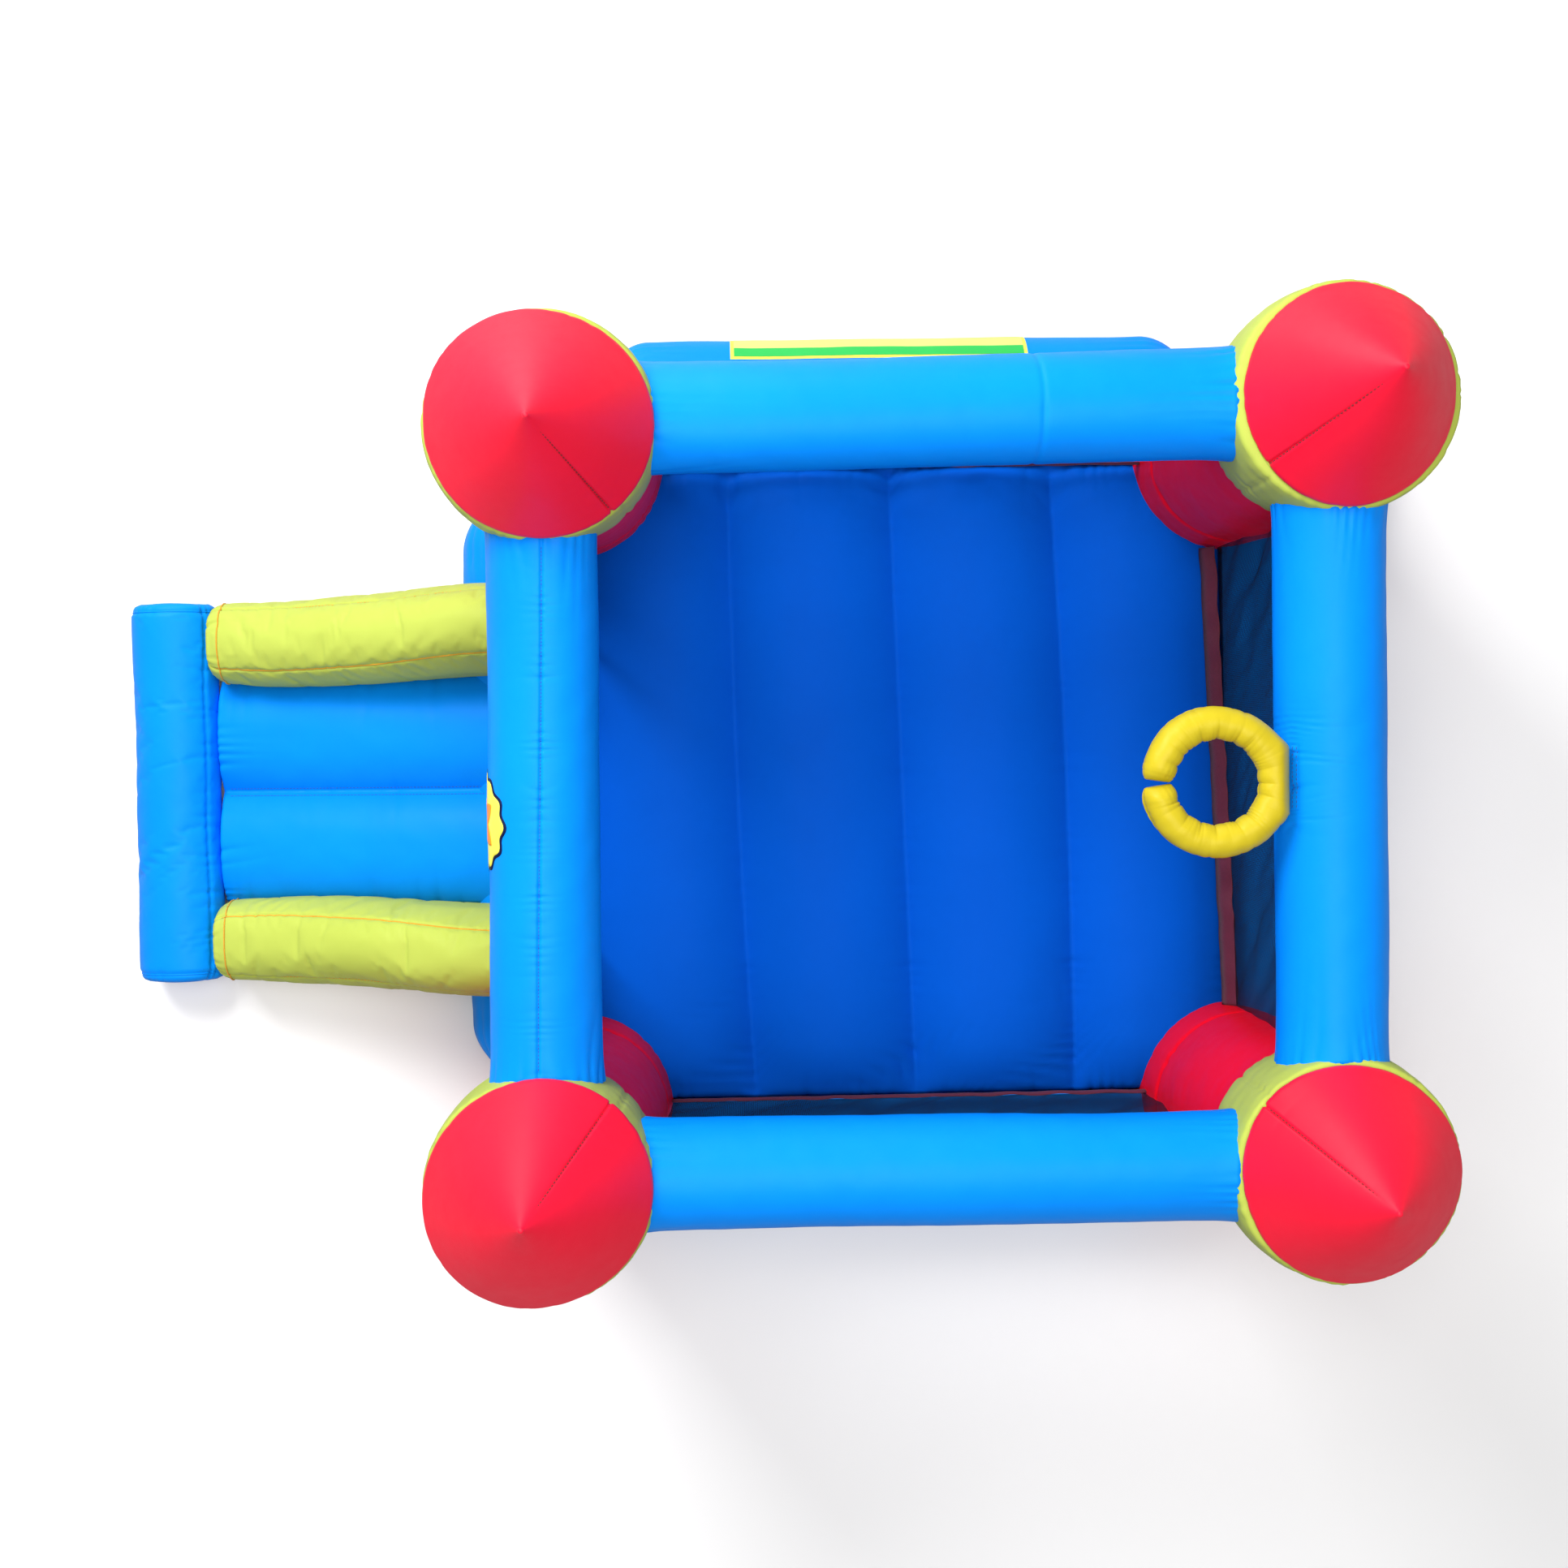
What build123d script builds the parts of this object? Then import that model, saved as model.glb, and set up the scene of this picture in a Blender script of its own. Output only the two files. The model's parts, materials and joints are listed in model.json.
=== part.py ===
from build123d import *
import math
import os

# An inflatable bounce house: a square jumping floor inside a low air wall, four corner
# towers with pointed caps, four tubes joining the towers at the top, netting between
# them, a short two-lane slide at the front, a ball hoop on the rear tube, and the fan
# that keeps it all inflated.
#
# Frame: origin on the ground under the middle of the floor, +Z up, -Y to the front
# (slide), +Y to the rear (hoop and fan), -X to the left seen from the front.

# ---------------------------------------------------------------- driving dimensions, mm
tower_x = 870            # tower axis from the centre plane, across
tower_y = 890            # tower axis from the centre plane, front to rear
column_radius = 240
collar_radius = 250
cap_radius = 256
cap_tip_radius = 7
column_top = 1140
collar_top = 1400
tower_top = 1750
tube_radius = 125        # the four top tubes
tube_height = 1270
floor_seam_top = 270     # top of the floor at the seams between its lanes
floor_crown_top = 300
floor_lanes = 4
front_reach = 320        # from the tower line out to the widest part of the air wall
side_reach = 361
wall_crown_top = 306
slide_half_width = 300
slide_top = 352          # top of the slide bed where it meets the house
slide_foot = 150         # top of the slide bed at its lower end
slide_end = 1905         # distance of the bed's lower end in front of the origin
bolster_width = 225
bolster_top = 610
bolster_foot = 285
foot_depth = 238
foot_height = 205
foot_half_width = 525
hoop_radius = 170        # outside of the ball hoop
hoop_tube_radius = 38

fabric = 3               # wall of every air chamber
gap = 1                  # clearance between chambers that are sewn together
net_thickness = 3
tape_thickness = 2
reach_through = 30       # how far an air port's cutter reaches each side of a joint

# Derived places
wall_face_y = tower_y + gap           # inner face of the front and rear walls
wall_outer_y = tower_y + front_reach
wall_face_x = tower_x + gap
wall_outer_x = tower_x + side_reach
net_low = wall_crown_top + 2
net_high = tube_height - tube_radius - 1
net_half_x = tower_x - column_radius - gap
net_half_y = tower_y - column_radius - gap

CORNERS = {
    "front_left": (-1, -1),
    "front_right": (1, -1),
    "rear_left": (-1, 1),
    "rear_right": (1, 1),
}

pieces = {}


def tower_axis(corner):
    across, along = CORNERS[corner]
    return across * tower_x, along * tower_y


def cut_port(centre, direction, radius, reach=reach_through):
    """Air port: a round hole through the fabric on both sides of a sewn joint."""
    with Locations(Plane(origin=centre, z_dir=direction)):
        Cylinder(radius, 2 * reach, mode=Mode.SUBTRACT)


# ---------------------------------------------------------------- towers
tower_port_radius = 100
tube_port_radius = 80
floor_port_radius = 70
floor_port_height = 140
column_foot_round = 35


def column_port(corner):
    """Where a column's inner side meets the floor: centre of the port and its direction."""
    across, along = CORNERS[corner]
    x, y = tower_axis(corner)
    inward = column_radius / math.sqrt(2)
    return (x - across * inward, y - along * inward, floor_port_height), (across, along, 0)


def make_column(corner):
    with BuildPart() as column:
        with BuildSketch(Plane.XY):
            with Locations(tower_axis(corner)):
                Circle(column_radius)
        extrude(amount=column_top)
        fillet(column.faces().sort_by(Axis.Z)[0].edges(), radius=column_foot_round)
        offset(amount=-fabric, mode=Mode.SUBTRACT)
        cut_port((*tower_axis(corner), column_top), (0, 0, 1), tower_port_radius)
        cut_port(*column_port(corner), floor_port_radius)
    return column.part


def make_collar(corner):
    across, along = CORNERS[corner]
    x, y = tower_axis(corner)
    with BuildPart() as collar:
        with BuildSketch(Plane.XY.offset(column_top)):
            with Locations((x, y)):
                Circle(collar_radius)
        extrude(amount=collar_top - column_top)
        offset(amount=-fabric, mode=Mode.SUBTRACT)
        cut_port((x, y, column_top), (0, 0, 1), tower_port_radius)
        cut_port((x, y, collar_top), (0, 0, 1), tower_port_radius)
        cut_port((x - across * collar_radius, y, tube_height), (1, 0, 0), tube_port_radius)
        cut_port((x, y - along * collar_radius, tube_height), (0, 1, 0), tube_port_radius)
    return collar.part


def make_cap(corner):
    with BuildPart() as cap:
        with BuildSketch(Plane.XZ):
            with BuildLine():
                base = Line((0, collar_top), (cap_radius - 8, collar_top))
                rim = ThreePointArc(
                    base @ 1, (cap_radius, collar_top + 9), (cap_radius - 5, collar_top + 20)
                )
                flank = Line(rim @ 1, (cap_tip_radius, tower_top))
                tip = Line(flank @ 1, (0, tower_top))
                Line(tip @ 1, base @ 0)
            make_face()
        revolve(axis=Axis.Z)
        offset(amount=-fabric, mode=Mode.SUBTRACT)
        cut_port((0, 0, collar_top), (0, 0, 1), tower_port_radius)
    return cap.part.moved(Location((*tower_axis(corner), 0)))


for corner in CORNERS:
    pieces["column_" + corner] = make_column(corner)
    pieces["collar_" + corner] = make_collar(corner)
    pieces["cap_" + corner] = make_cap(corner)


# ---------------------------------------------------------------- top tubes
def tube_body(plane, half_length, inset):
    """A tube between two collars: a cylinder whose ends are hollowed to fit them."""
    with BuildPart() as body:
        with BuildSketch(plane):
            Circle(tube_radius - inset)
        extrude(amount=half_length, both=True)
        for corner in CORNERS:
            with Locations((*tower_axis(corner), tube_height)):
                Cylinder(collar_radius + gap + inset, 3 * tube_radius, mode=Mode.SUBTRACT)
    return body.part


def make_tube(plane, half_length):
    outside = tube_body(plane, half_length, 0)
    inside = tube_body(plane, half_length, fabric)
    with BuildPart() as tube:
        add(outside)
        add(inside, mode=Mode.SUBTRACT)
        for corner in CORNERS:
            across, along = CORNERS[corner]
            x, y = tower_axis(corner)
            if abs(plane.z_dir.X) > 0.5:
                cut_port((x - across * collar_radius, y, tube_height), (1, 0, 0), tube_port_radius)
            else:
                cut_port((x, y - along * collar_radius, tube_height), (0, 1, 0), tube_port_radius)
    return tube.part


def cross_plane(y):
    return Plane(origin=(0, y, tube_height), x_dir=(0, 1, 0), z_dir=(1, 0, 0))


def long_plane(x):
    return Plane(origin=(x, 0, tube_height), x_dir=(1, 0, 0), z_dir=(0, 1, 0))


pieces["tube_front"] = make_tube(cross_plane(-tower_y), tower_x)
pieces["tube_rear"] = make_tube(cross_plane(tower_y), tower_x)
pieces["tube_left"] = make_tube(long_plane(-tower_x), tower_y)
pieces["tube_right"] = make_tube(long_plane(tower_x), tower_y)


# ---------------------------------------------------------------- jumping floor
lane = 2 * tower_y / floor_lanes
wall_port_x = 320
baffle_vent_radius = 50


def floor_outline(inset):
    """Section of the floor seen from the side: a flat bottom and one crown per lane."""
    with BuildSketch() as outline:
        with BuildLine():
            Polyline((-tower_y, floor_seam_top), (-tower_y, 0), (tower_y, 0), (tower_y, floor_seam_top))
            for i in range(floor_lanes):
                start = tower_y - i * lane
                ThreePointArc(
                    (start, floor_seam_top),
                    (start - lane / 2, floor_crown_top),
                    (start - lane, floor_seam_top),
                )
        make_face()
        if inset:
            offset(amount=-inset, kind=Kind.ARC)
    return outline.sketch_local


def floor_body(inset):
    with BuildPart() as body:
        with BuildSketch(Plane.YZ):
            add(floor_outline(inset))
        extrude(amount=tower_x - inset, both=True)
        for corner in CORNERS:
            with Locations((*tower_axis(corner), 0)):
                Cylinder(column_radius + gap + inset, 3 * floor_crown_top, mode=Mode.SUBTRACT)
    return body.part


floor_outside = floor_body(0)
floor_inside = floor_body(fabric)
with BuildPart() as bounce_floor:
    add(floor_outside)
    add(floor_inside, mode=Mode.SUBTRACT)
    for corner in CORNERS:
        cut_port(*column_port(corner), floor_port_radius)
    for side in (-1, 1):
        for place in (-wall_port_x, wall_port_x):
            cut_port((place, side * tower_y, floor_port_height), (0, 1, 0), floor_port_radius)
            cut_port((side * tower_x, place, floor_port_height), (1, 0, 0), floor_port_radius)
pieces["bounce_floor"] = bounce_floor.part

# Upright webs under the seams hold the floor flat; vents let the air cross them.
with BuildPart() as floor_baffles:
    web_height = floor_seam_top - 2 * fabric - 0.5
    for y in (-lane, 0, lane):
        with Locations((0, y, fabric + web_height / 2)):
            Box(2 * (tower_x - 2 * fabric), tape_thickness, web_height)
        for x in (-600, -200, 200, 600):
            cut_port((x, y, floor_port_height), (0, 1, 0), baffle_vent_radius, 10)
pieces["floor_baffles"] = floor_baffles.part


# ---------------------------------------------------------------- air wall round the floor
wall_end = tower_x - 10         # half length of the front and rear walls
wall_corner_round = 200
belly_depth = 110               # how far the outer side stands out past its own edges
hem_height = 45


def wall_outline(reach, inset):
    """Section of an air wall: flat bottom and inner face, full outer side and top."""
    width = reach - gap
    with BuildSketch() as outline:
        with BuildLine():
            floor_line = Line((0, 0), (width - belly_depth, 0))
            belly = ThreePointArc(
                floor_line @ 1, (width, wall_crown_top / 2), (width - belly_depth, wall_crown_top - 4)
            )
            roof = ThreePointArc(belly @ 1, (width * 0.4, wall_crown_top), (0, floor_seam_top))
            Line(roof @ 1, floor_line @ 0)
        make_face()
        if inset:
            offset(amount=-inset, kind=Kind.ARC)
    return outline.sketch_local


def wall_body(half_length, face, reach, inset):
    """One air wall lying along X with its inner face at y = face, not yet cut by the towers."""
    section = Plane(origin=(0, face, 0), x_dir=(0, 1, 0), z_dir=(1, 0, 0))
    with BuildPart() as body:
        with BuildSketch(section):
            add(wall_outline(reach, inset))
        extrude(amount=half_length - inset, both=True)
        with BuildSketch(Plane.XY) as plan:
            with Locations((0, face + reach / 2 - gap)):
                Rectangle(2 * (half_length - inset), reach + 2 * max(0, -inset))
            fillet(plan.vertices().group_by(Axis.Y)[-1], radius=wall_corner_round)
        extrude(amount=2 * wall_crown_top, both=True, mode=Mode.INTERSECT)
    return body.part


def wall_shell(half_length, face, reach, along_x, along_y):
    """A hollow wall with its ends cut round the two columns it runs between."""
    solids = []
    for inset in (0, fabric):
        body = wall_body(half_length, face, reach, inset)
        with BuildPart() as trimmed:
            add(body)
            for side in (-1, 1):
                with Locations((side * along_x, along_y, 0)):
                    Cylinder(column_radius + gap + inset, 3 * wall_crown_top, mode=Mode.SUBTRACT)
        solids.append(trimmed.part)
    with BuildPart() as wall:
        add(solids[0])
        add(solids[1], mode=Mode.SUBTRACT)
        for place in (-wall_port_x, wall_port_x):
            cut_port((place, face, floor_port_height), (0, 1, 0), floor_port_radius)
    return wall.part


long_wall = wall_shell(wall_end, wall_face_y, front_reach, tower_x, tower_y)
side_wall = wall_shell(tower_y - 10, wall_face_x, side_reach, tower_y, tower_x)

# Inflation inlet: a sleeve leaves the fan sideways, turns and enters the rear wall.
fan_x = -1160
fan_y = 1322
inlet_height = 80
inlet_x = -690
sleeve_radius = 60
sleeve_bend = 95
sleeve_start_x = fan_x + 210

# Slide ports through the front wall
slide_port_x = 150
slide_port_radius = 55
slide_port_height = 90

with BuildPart() as wall_front:
    add(long_wall.rotate(Axis.Z, 180))
    for place in (-slide_port_x, slide_port_x):
        cut_port((place, -wall_outer_y, slide_port_height), (0, 1, 0), slide_port_radius, 60)
pieces["wall_front"] = wall_front.part

with BuildPart() as wall_rear:
    add(long_wall)
    cut_port((inlet_x, wall_outer_y, inlet_height), (0, 1, 0), sleeve_radius - fabric, 60)
pieces["wall_rear"] = wall_rear.part

pieces["wall_right"] = side_wall.rotate(Axis.Z, -90)
pieces["wall_left"] = side_wall.rotate(Axis.Z, 90)


# ---------------------------------------------------------------- netting
doorway_half_width = 420


def panel(low, high):
    """A thin upright panel filling the box between two corners, notched round the collars."""
    size = [high[i] - low[i] for i in range(3)]
    centre = [(high[i] + low[i]) / 2 for i in range(3)]
    with BuildPart() as sheet:
        with Locations(tuple(centre)):
            Box(*size)
        for corner in CORNERS:
            with Locations((*tower_axis(corner), tube_height)):
                Cylinder(collar_radius + gap, 2 * (tube_height - column_top + gap), mode=Mode.SUBTRACT)
    return sheet.part


half_net = net_thickness / 2
for side, name in ((-1, "left"), (1, "right")):
    x = side * tower_x
    pieces["net_" + name] = panel(
        (x - half_net, -net_half_y, net_low), (x + half_net, net_half_y, net_high)
    )
pieces["net_rear"] = panel(
    (-net_half_x, tower_y - half_net, net_low), (net_half_x, tower_y + half_net, net_high)
)
pieces["net_front_left"] = panel(
    (-net_half_x, -tower_y - half_net, net_low),
    (-doorway_half_width, -tower_y + half_net, net_high),
)
pieces["net_front_right"] = panel(
    (doorway_half_width, -tower_y - half_net, net_low),
    (net_half_x, -tower_y + half_net, net_high),
)

# A tape along the foot of each long net, on its inner side.
hem_low = net_low
with BuildPart() as net_hems:
    for side in (-1, 1):
        with Locations((side * (tower_x - half_net - tape_thickness / 2), 0, hem_low + hem_height / 2)):
            Box(tape_thickness, 2 * (net_half_y - 5), hem_height)
    with Locations((0, tower_y - half_net - tape_thickness / 2, hem_low + hem_height / 2)):
        Box(2 * (net_half_x - 5), tape_thickness, hem_height)
pieces["net_hems"] = net_hems.part


# ---------------------------------------------------------------- slide
bed_start = 1150                # the bed starts over the front wall
bed_crown = 26                  # how far each lane rises between the seams
bolster_start = 935             # the bolsters reach back over the wall, nearly to the net
bolster_round = 45
side_port_radius = 40
side_port_height = 70


def bed_section(distance, top, inset):
    """Section across the two lanes of the bed at a distance in front of the origin."""
    half = slide_half_width - inset
    low, edge, crown = inset, top - bed_crown - inset, top - inset
    with BuildSketch(Plane(origin=(0, -distance, 0), x_dir=(1, 0, 0), z_dir=(0, -1, 0))) as section:
        with BuildLine():
            Polyline((-half, edge), (-half, low), (half, low), (half, edge))
            ThreePointArc((half, edge), (half / 2, crown), (0, edge))
            ThreePointArc((0, edge), (-half / 2, crown), (-half, edge))
        make_face()
    return section.sketch


def bolster_section(distance, height, inset):
    """Section of one bolster: an upright rounded box beside the bed."""
    width = bolster_width - 2 * inset
    tall = height - 2 * inset
    centre = slide_half_width + gap + bolster_width / 2
    with BuildSketch(Plane(origin=(0, -distance, 0), x_dir=(1, 0, 0), z_dir=(0, -1, 0))) as section:
        with Locations((centre, height / 2)):
            RectangleRounded(width, tall, bolster_round)
    return section.sketch


# The front wall, swollen by the gap (or by the gap and the fabric), trims whatever meets it.
front_wall_cutters = [
    wall_body(wall_end, wall_face_y, front_reach, -grow).rotate(Axis.Z, 180)
    for grow in (gap, gap + fabric)
]


def loft_between(first, second):
    with BuildPart() as body:
        loft(sections=[first, second], ruled=True)
    return body.part


with BuildPart() as slide_bed:
    add(loft_between(bed_section(bed_start, slide_top, 0), bed_section(slide_end, slide_foot, 0)))
    add(front_wall_cutters[0], mode=Mode.SUBTRACT)
slide_bed_outside = slide_bed.part

with BuildPart() as slide_bed_inside:
    add(
        loft_between(
            bed_section(bed_start + fabric, slide_top, fabric),
            bed_section(slide_end - fabric, slide_foot, fabric),
        )
    )
    add(front_wall_cutters[1], mode=Mode.SUBTRACT)

with BuildPart() as slide_bed_shell:
    add(slide_bed_outside)
    add(slide_bed_inside.part, mode=Mode.SUBTRACT)
    for place in (-slide_port_x, slide_port_x):
        cut_port((place, -wall_outer_y, slide_port_height), (0, 1, 0), slide_port_radius, 60)
        cut_port((place, -slide_end, side_port_height), (0, 1, 0), side_port_radius)
    for side in (-1, 1):
        cut_port((side * slide_half_width, -1560, side_port_height), (1, 0, 0), side_port_radius)
pieces["slide_bed"] = slide_bed_shell.part


def bolster_body(inset):
    first = bolster_section(bolster_start + inset, bolster_top, inset)
    second = bolster_section(slide_end - inset, bolster_foot, inset)
    body = loft_between(first, second)
    with BuildPart() as trimmed:
        add(body)
        add(front_wall_cutters[1 if inset else 0], mode=Mode.SUBTRACT)
    return trimmed.part


bolster_outside = bolster_body(0)
bolster_inside = bolster_body(fabric)
with BuildPart() as bolster:
    add(bolster_outside)
    add(bolster_inside, mode=Mode.SUBTRACT)
    cut_port((slide_half_width, -1560, side_port_height), (1, 0, 0), side_port_radius)
pieces["slide_bolster_right"] = bolster.part
pieces["slide_bolster_left"] = bolster.part.mirror(Plane.YZ)

foot_centre_y = -(slide_end + gap + foot_depth / 2)
with BuildPart() as slide_foot_tube:
    with BuildSketch(Plane(origin=(0, foot_centre_y, 0), x_dir=(0, 1, 0), z_dir=(1, 0, 0))):
        with Locations((0, foot_height / 2)):
            RectangleRounded(foot_depth, foot_height, 85)
    extrude(amount=foot_half_width, both=True)
    fillet(slide_foot_tube.faces().filter_by(Axis.X).edges(), radius=30)
    offset(amount=-fabric, mode=Mode.SUBTRACT)
    for place in (-slide_port_x, slide_port_x):
        cut_port((place, -slide_end, side_port_height), (0, 1, 0), side_port_radius)
pieces["slide_foot_tube"] = slide_foot_tube.part


# ---------------------------------------------------------------- ball hoop
# The hoop is sewn along one line on the upper inner side of the rear tube and folds
# about that line. Its underside is relieved so that it can swing down.
seam_angle = math.radians(62)        # the seam's place on the tube, from straight up
seam_y = tower_y - (tube_radius + 2) * math.sin(seam_angle)
seam_z = tube_height + (tube_radius + 2) * math.cos(seam_angle)
hoop_x = -20
hoop_y = seam_y - hoop_radius
hoop_z = seam_z + 30
hoop_drop = math.radians(40)         # how far it can swing down
hoop_slit = 6
relief = seam_angle - hoop_drop - math.radians(2)

flange_width, flange_depth, flange_height = 150, 80, 50


def hoop_body(inset):
    with BuildPart() as body:
        with Locations((hoop_x, hoop_y, hoop_z)):
            Torus(hoop_radius - hoop_tube_radius, hoop_tube_radius - inset)
            with Locations((0, hoop_radius - 45, 0)):
                Box(flange_width - 2 * inset, flange_depth - 2 * inset, flange_height - 2 * inset)
        # the open end, where the two ends of the ring almost meet
        with Locations((hoop_x, hoop_y - hoop_radius, hoop_z)):
            Box(
                hoop_slit + 2 * inset,
                3 * hoop_tube_radius,
                3 * hoop_tube_radius,
                mode=Mode.SUBTRACT,
            )
        # flat edge against the seam, and the relief under it
        with Locations((hoop_x, seam_y - inset + 50, hoop_z)):
            Box(400, 100, 200, mode=Mode.SUBTRACT)
        with BuildSketch(
            Plane(
                origin=(hoop_x, seam_y - inset, seam_z + inset),
                x_dir=(0, 1, 0),
                z_dir=(1, 0, 0),
            )
        ):
            with BuildLine():
                Polyline(
                    (0, 0), (-200, -200 * math.tan(relief)), (-200, -250), (0, -250), close=True
                )
            make_face()
        extrude(amount=200, both=True, mode=Mode.SUBTRACT)
    return body.part


hoop_outside = hoop_body(0)
hoop_inside = hoop_body(fabric)
with BuildPart() as hoop_ring:
    add(hoop_outside)
    add(hoop_inside, mode=Mode.SUBTRACT)
pieces["hoop_ring"] = hoop_ring.part

# The tape that sews the hoop on: a strip lying on the rear tube just behind the seam.
tape_from = seam_angle - math.radians(2)
tape_to = seam_angle - math.radians(11)
tape_length = 150


def tube_point(reach, angle):
    """Point on the rear tube's section, the angle measured from straight up to the inside."""
    return -reach * math.sin(angle), reach * math.cos(angle)


with BuildPart() as hoop_tape:
    with BuildSketch(Plane(origin=(hoop_x, tower_y, tube_height), x_dir=(0, 1, 0), z_dir=(1, 0, 0))):
        under = tube_radius + 0.2
        over = under + tape_thickness
        middle = (tape_from + tape_to) / 2
        with BuildLine():
            front = Line(tube_point(under, tape_from), tube_point(over, tape_from))
            outside = ThreePointArc(front @ 1, tube_point(over, middle), tube_point(over, tape_to))
            back = Line(outside @ 1, tube_point(under, tape_to))
            ThreePointArc(back @ 1, tube_point(under, middle), front @ 0)
        make_face()
    extrude(amount=tape_length / 2, both=True)
pieces["hoop_tape"] = hoop_tape.part


# ---------------------------------------------------------------- sewn-on patches
badge_radius = 112               # to the middle of the scalloped edge
badge_scallop = 8
badge_petals = 12
badge_x = 45


def badge_point(i):
    """Point i of a scalloped sun wrapped round the front tube, as seen from the front."""
    angle = i * math.pi / (2 * badge_petals)
    reach = badge_radius + badge_scallop * math.cos(badge_petals * angle)
    return reach * math.sin(angle), tube_radius * math.sin(reach * math.cos(angle) / tube_radius)


with BuildPart() as sun_badge:
    with BuildSketch(
        Plane(
            origin=(badge_x, -tower_y - 2 * tube_radius, tube_height),
            x_dir=(1, 0, 0),
            z_dir=(0, -1, 0),
        )
    ):
        with BuildLine():
            Spline(*[badge_point(i) for i in range(4 * badge_petals)], periodic=True)
        make_face()
    extrude(amount=-2 * tube_radius)
    with BuildSketch(cross_plane(-tower_y)):
        Circle(tube_radius + 0.3 + tape_thickness)
        Circle(tube_radius + 0.3, mode=Mode.SUBTRACT)
    extrude(amount=tower_x, both=True, mode=Mode.INTERSECT)
pieces["sun_badge"] = sun_badge.part

panel_length = 815
panel_y = -50
panel_skins = [
    wall_body(tower_y - 10, wall_face_x, side_reach, -grow).rotate(Axis.Z, 90)
    for grow in (0.5 + tape_thickness, 0.5)
]
with BuildPart() as blank_panel:
    add(panel_skins[0])
    add(panel_skins[1], mode=Mode.SUBTRACT)
    with Locations((-wall_outer_x, panel_y, 160)):
        Box(140, panel_length, 230, mode=Mode.INTERSECT)
pieces["blank_panel"] = blank_panel.part


# ---------------------------------------------------------------- ground anchors
anchor_reach = 320               # eyelet centre from the tower axis
eyelet_bore = 10
tab_height = 6


def corner_frame(corner):
    """Plane at a tower's foot whose x axis points out through the corner."""
    across, along = CORNERS[corner]
    return Plane(origin=(*tower_axis(corner), 0), x_dir=(across, along, 0), z_dir=(0, 0, 1))


with BuildPart() as anchor_tabs:
    for corner in CORNERS:
        with Locations(corner_frame(corner)):
            with Locations(((column_radius + anchor_reach + 35) / 2 + 2, 0, tab_height)):
                Box(anchor_reach + 35 - column_radius, 50, tape_thickness)
            with Locations((anchor_reach, 0, tab_height)):
                Cylinder(14.2, 10, mode=Mode.SUBTRACT)
pieces["anchor_tabs"] = anchor_tabs.part

with BuildPart() as anchor_eyelets:
    for corner in CORNERS:
        with Locations(corner_frame(corner)):
            with Locations((anchor_reach, 0, tab_height)):
                Cylinder(14, 6)
                for level in (-2.2, 2.2):
                    with Locations((0, 0, level)):
                        Cylinder(20, 1.6)
                Cylinder(eyelet_bore, 20, mode=Mode.SUBTRACT)
pieces["anchor_eyelets"] = anchor_eyelets.part


# ---------------------------------------------------------------- deflation zip
zip_x = 480
zip_length = 420
zip_height = 150
zip_y = wall_outer_y + 0.3
with BuildPart() as zip_tape:
    with Locations((zip_x, zip_y + tape_thickness / 2, zip_height)):
        Box(zip_length, tape_thickness, 30)
    with Locations((zip_x, zip_y + tape_thickness + 1, zip_height)):
        Box(zip_length - 10, 2, 6)
pieces["deflation_zip"] = zip_tape.part

zip_slider_x = zip_x - zip_length / 2 + 20
with BuildPart() as zip_slider:
    with Locations((zip_slider_x, zip_y + 7, zip_height)):
        Box(16, 9, 14)
    with Locations((zip_slider_x, zip_y + 2.5, zip_height)):
        Box(20, 4, 6.6, mode=Mode.SUBTRACT)
    with Locations((zip_slider_x, zip_y + 13, zip_height - 12)):
        Box(6, 3, 34)
pieces["zip_slider"] = zip_slider.part


# ---------------------------------------------------------------- inflation sleeve
def sleeve_body(radius):
    with BuildPart() as body:
        with BuildLine():
            run = Line((sleeve_start_x, fan_y, inlet_height), (inlet_x - sleeve_bend, fan_y, inlet_height))
            bend = ThreePointArc(
                run @ 1,
                (
                    inlet_x - sleeve_bend * (1 - math.sin(math.pi / 4)),
                    fan_y - sleeve_bend * (1 - math.cos(math.pi / 4)),
                    inlet_height,
                ),
                (inlet_x, fan_y - sleeve_bend, inlet_height),
            )
            Line(bend @ 1, (inlet_x, wall_outer_y - 60, inlet_height))
        with BuildSketch(Plane(origin=(sleeve_start_x, fan_y, inlet_height), z_dir=(1, 0, 0))):
            Circle(radius)
        sweep()
    return body.part


sleeve_outside = sleeve_body(sleeve_radius)
sleeve_bore = sleeve_body(sleeve_radius - fabric)
rear_wall_cutter = front_wall_cutters[0].rotate(Axis.Z, 180)
with BuildPart() as inflation_sleeve:
    add(sleeve_outside)
    add(sleeve_bore, mode=Mode.SUBTRACT)
    add(rear_wall_cutter, mode=Mode.SUBTRACT)
pieces["inflation_sleeve"] = inflation_sleeve.part

strap_x = sleeve_start_x + 25
with BuildPart() as sleeve_strap:
    with BuildSketch(Plane(origin=(strap_x, fan_y, inlet_height), z_dir=(1, 0, 0))):
        Circle(sleeve_radius + 0.3 + tape_thickness)
        Circle(sleeve_radius + 0.3, mode=Mode.SUBTRACT)
    extrude(amount=12.5, both=True)
    with Locations((strap_x, fan_y, inlet_height + sleeve_radius + 5)):
        Box(22, 34, 7)
    with BuildSketch(Plane(origin=(strap_x, fan_y, inlet_height), z_dir=(1, 0, 0))):
        Circle(sleeve_radius + 0.3)
    extrude(amount=30, both=True, mode=Mode.SUBTRACT)
pieces["sleeve_strap"] = sleeve_strap.part


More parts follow.
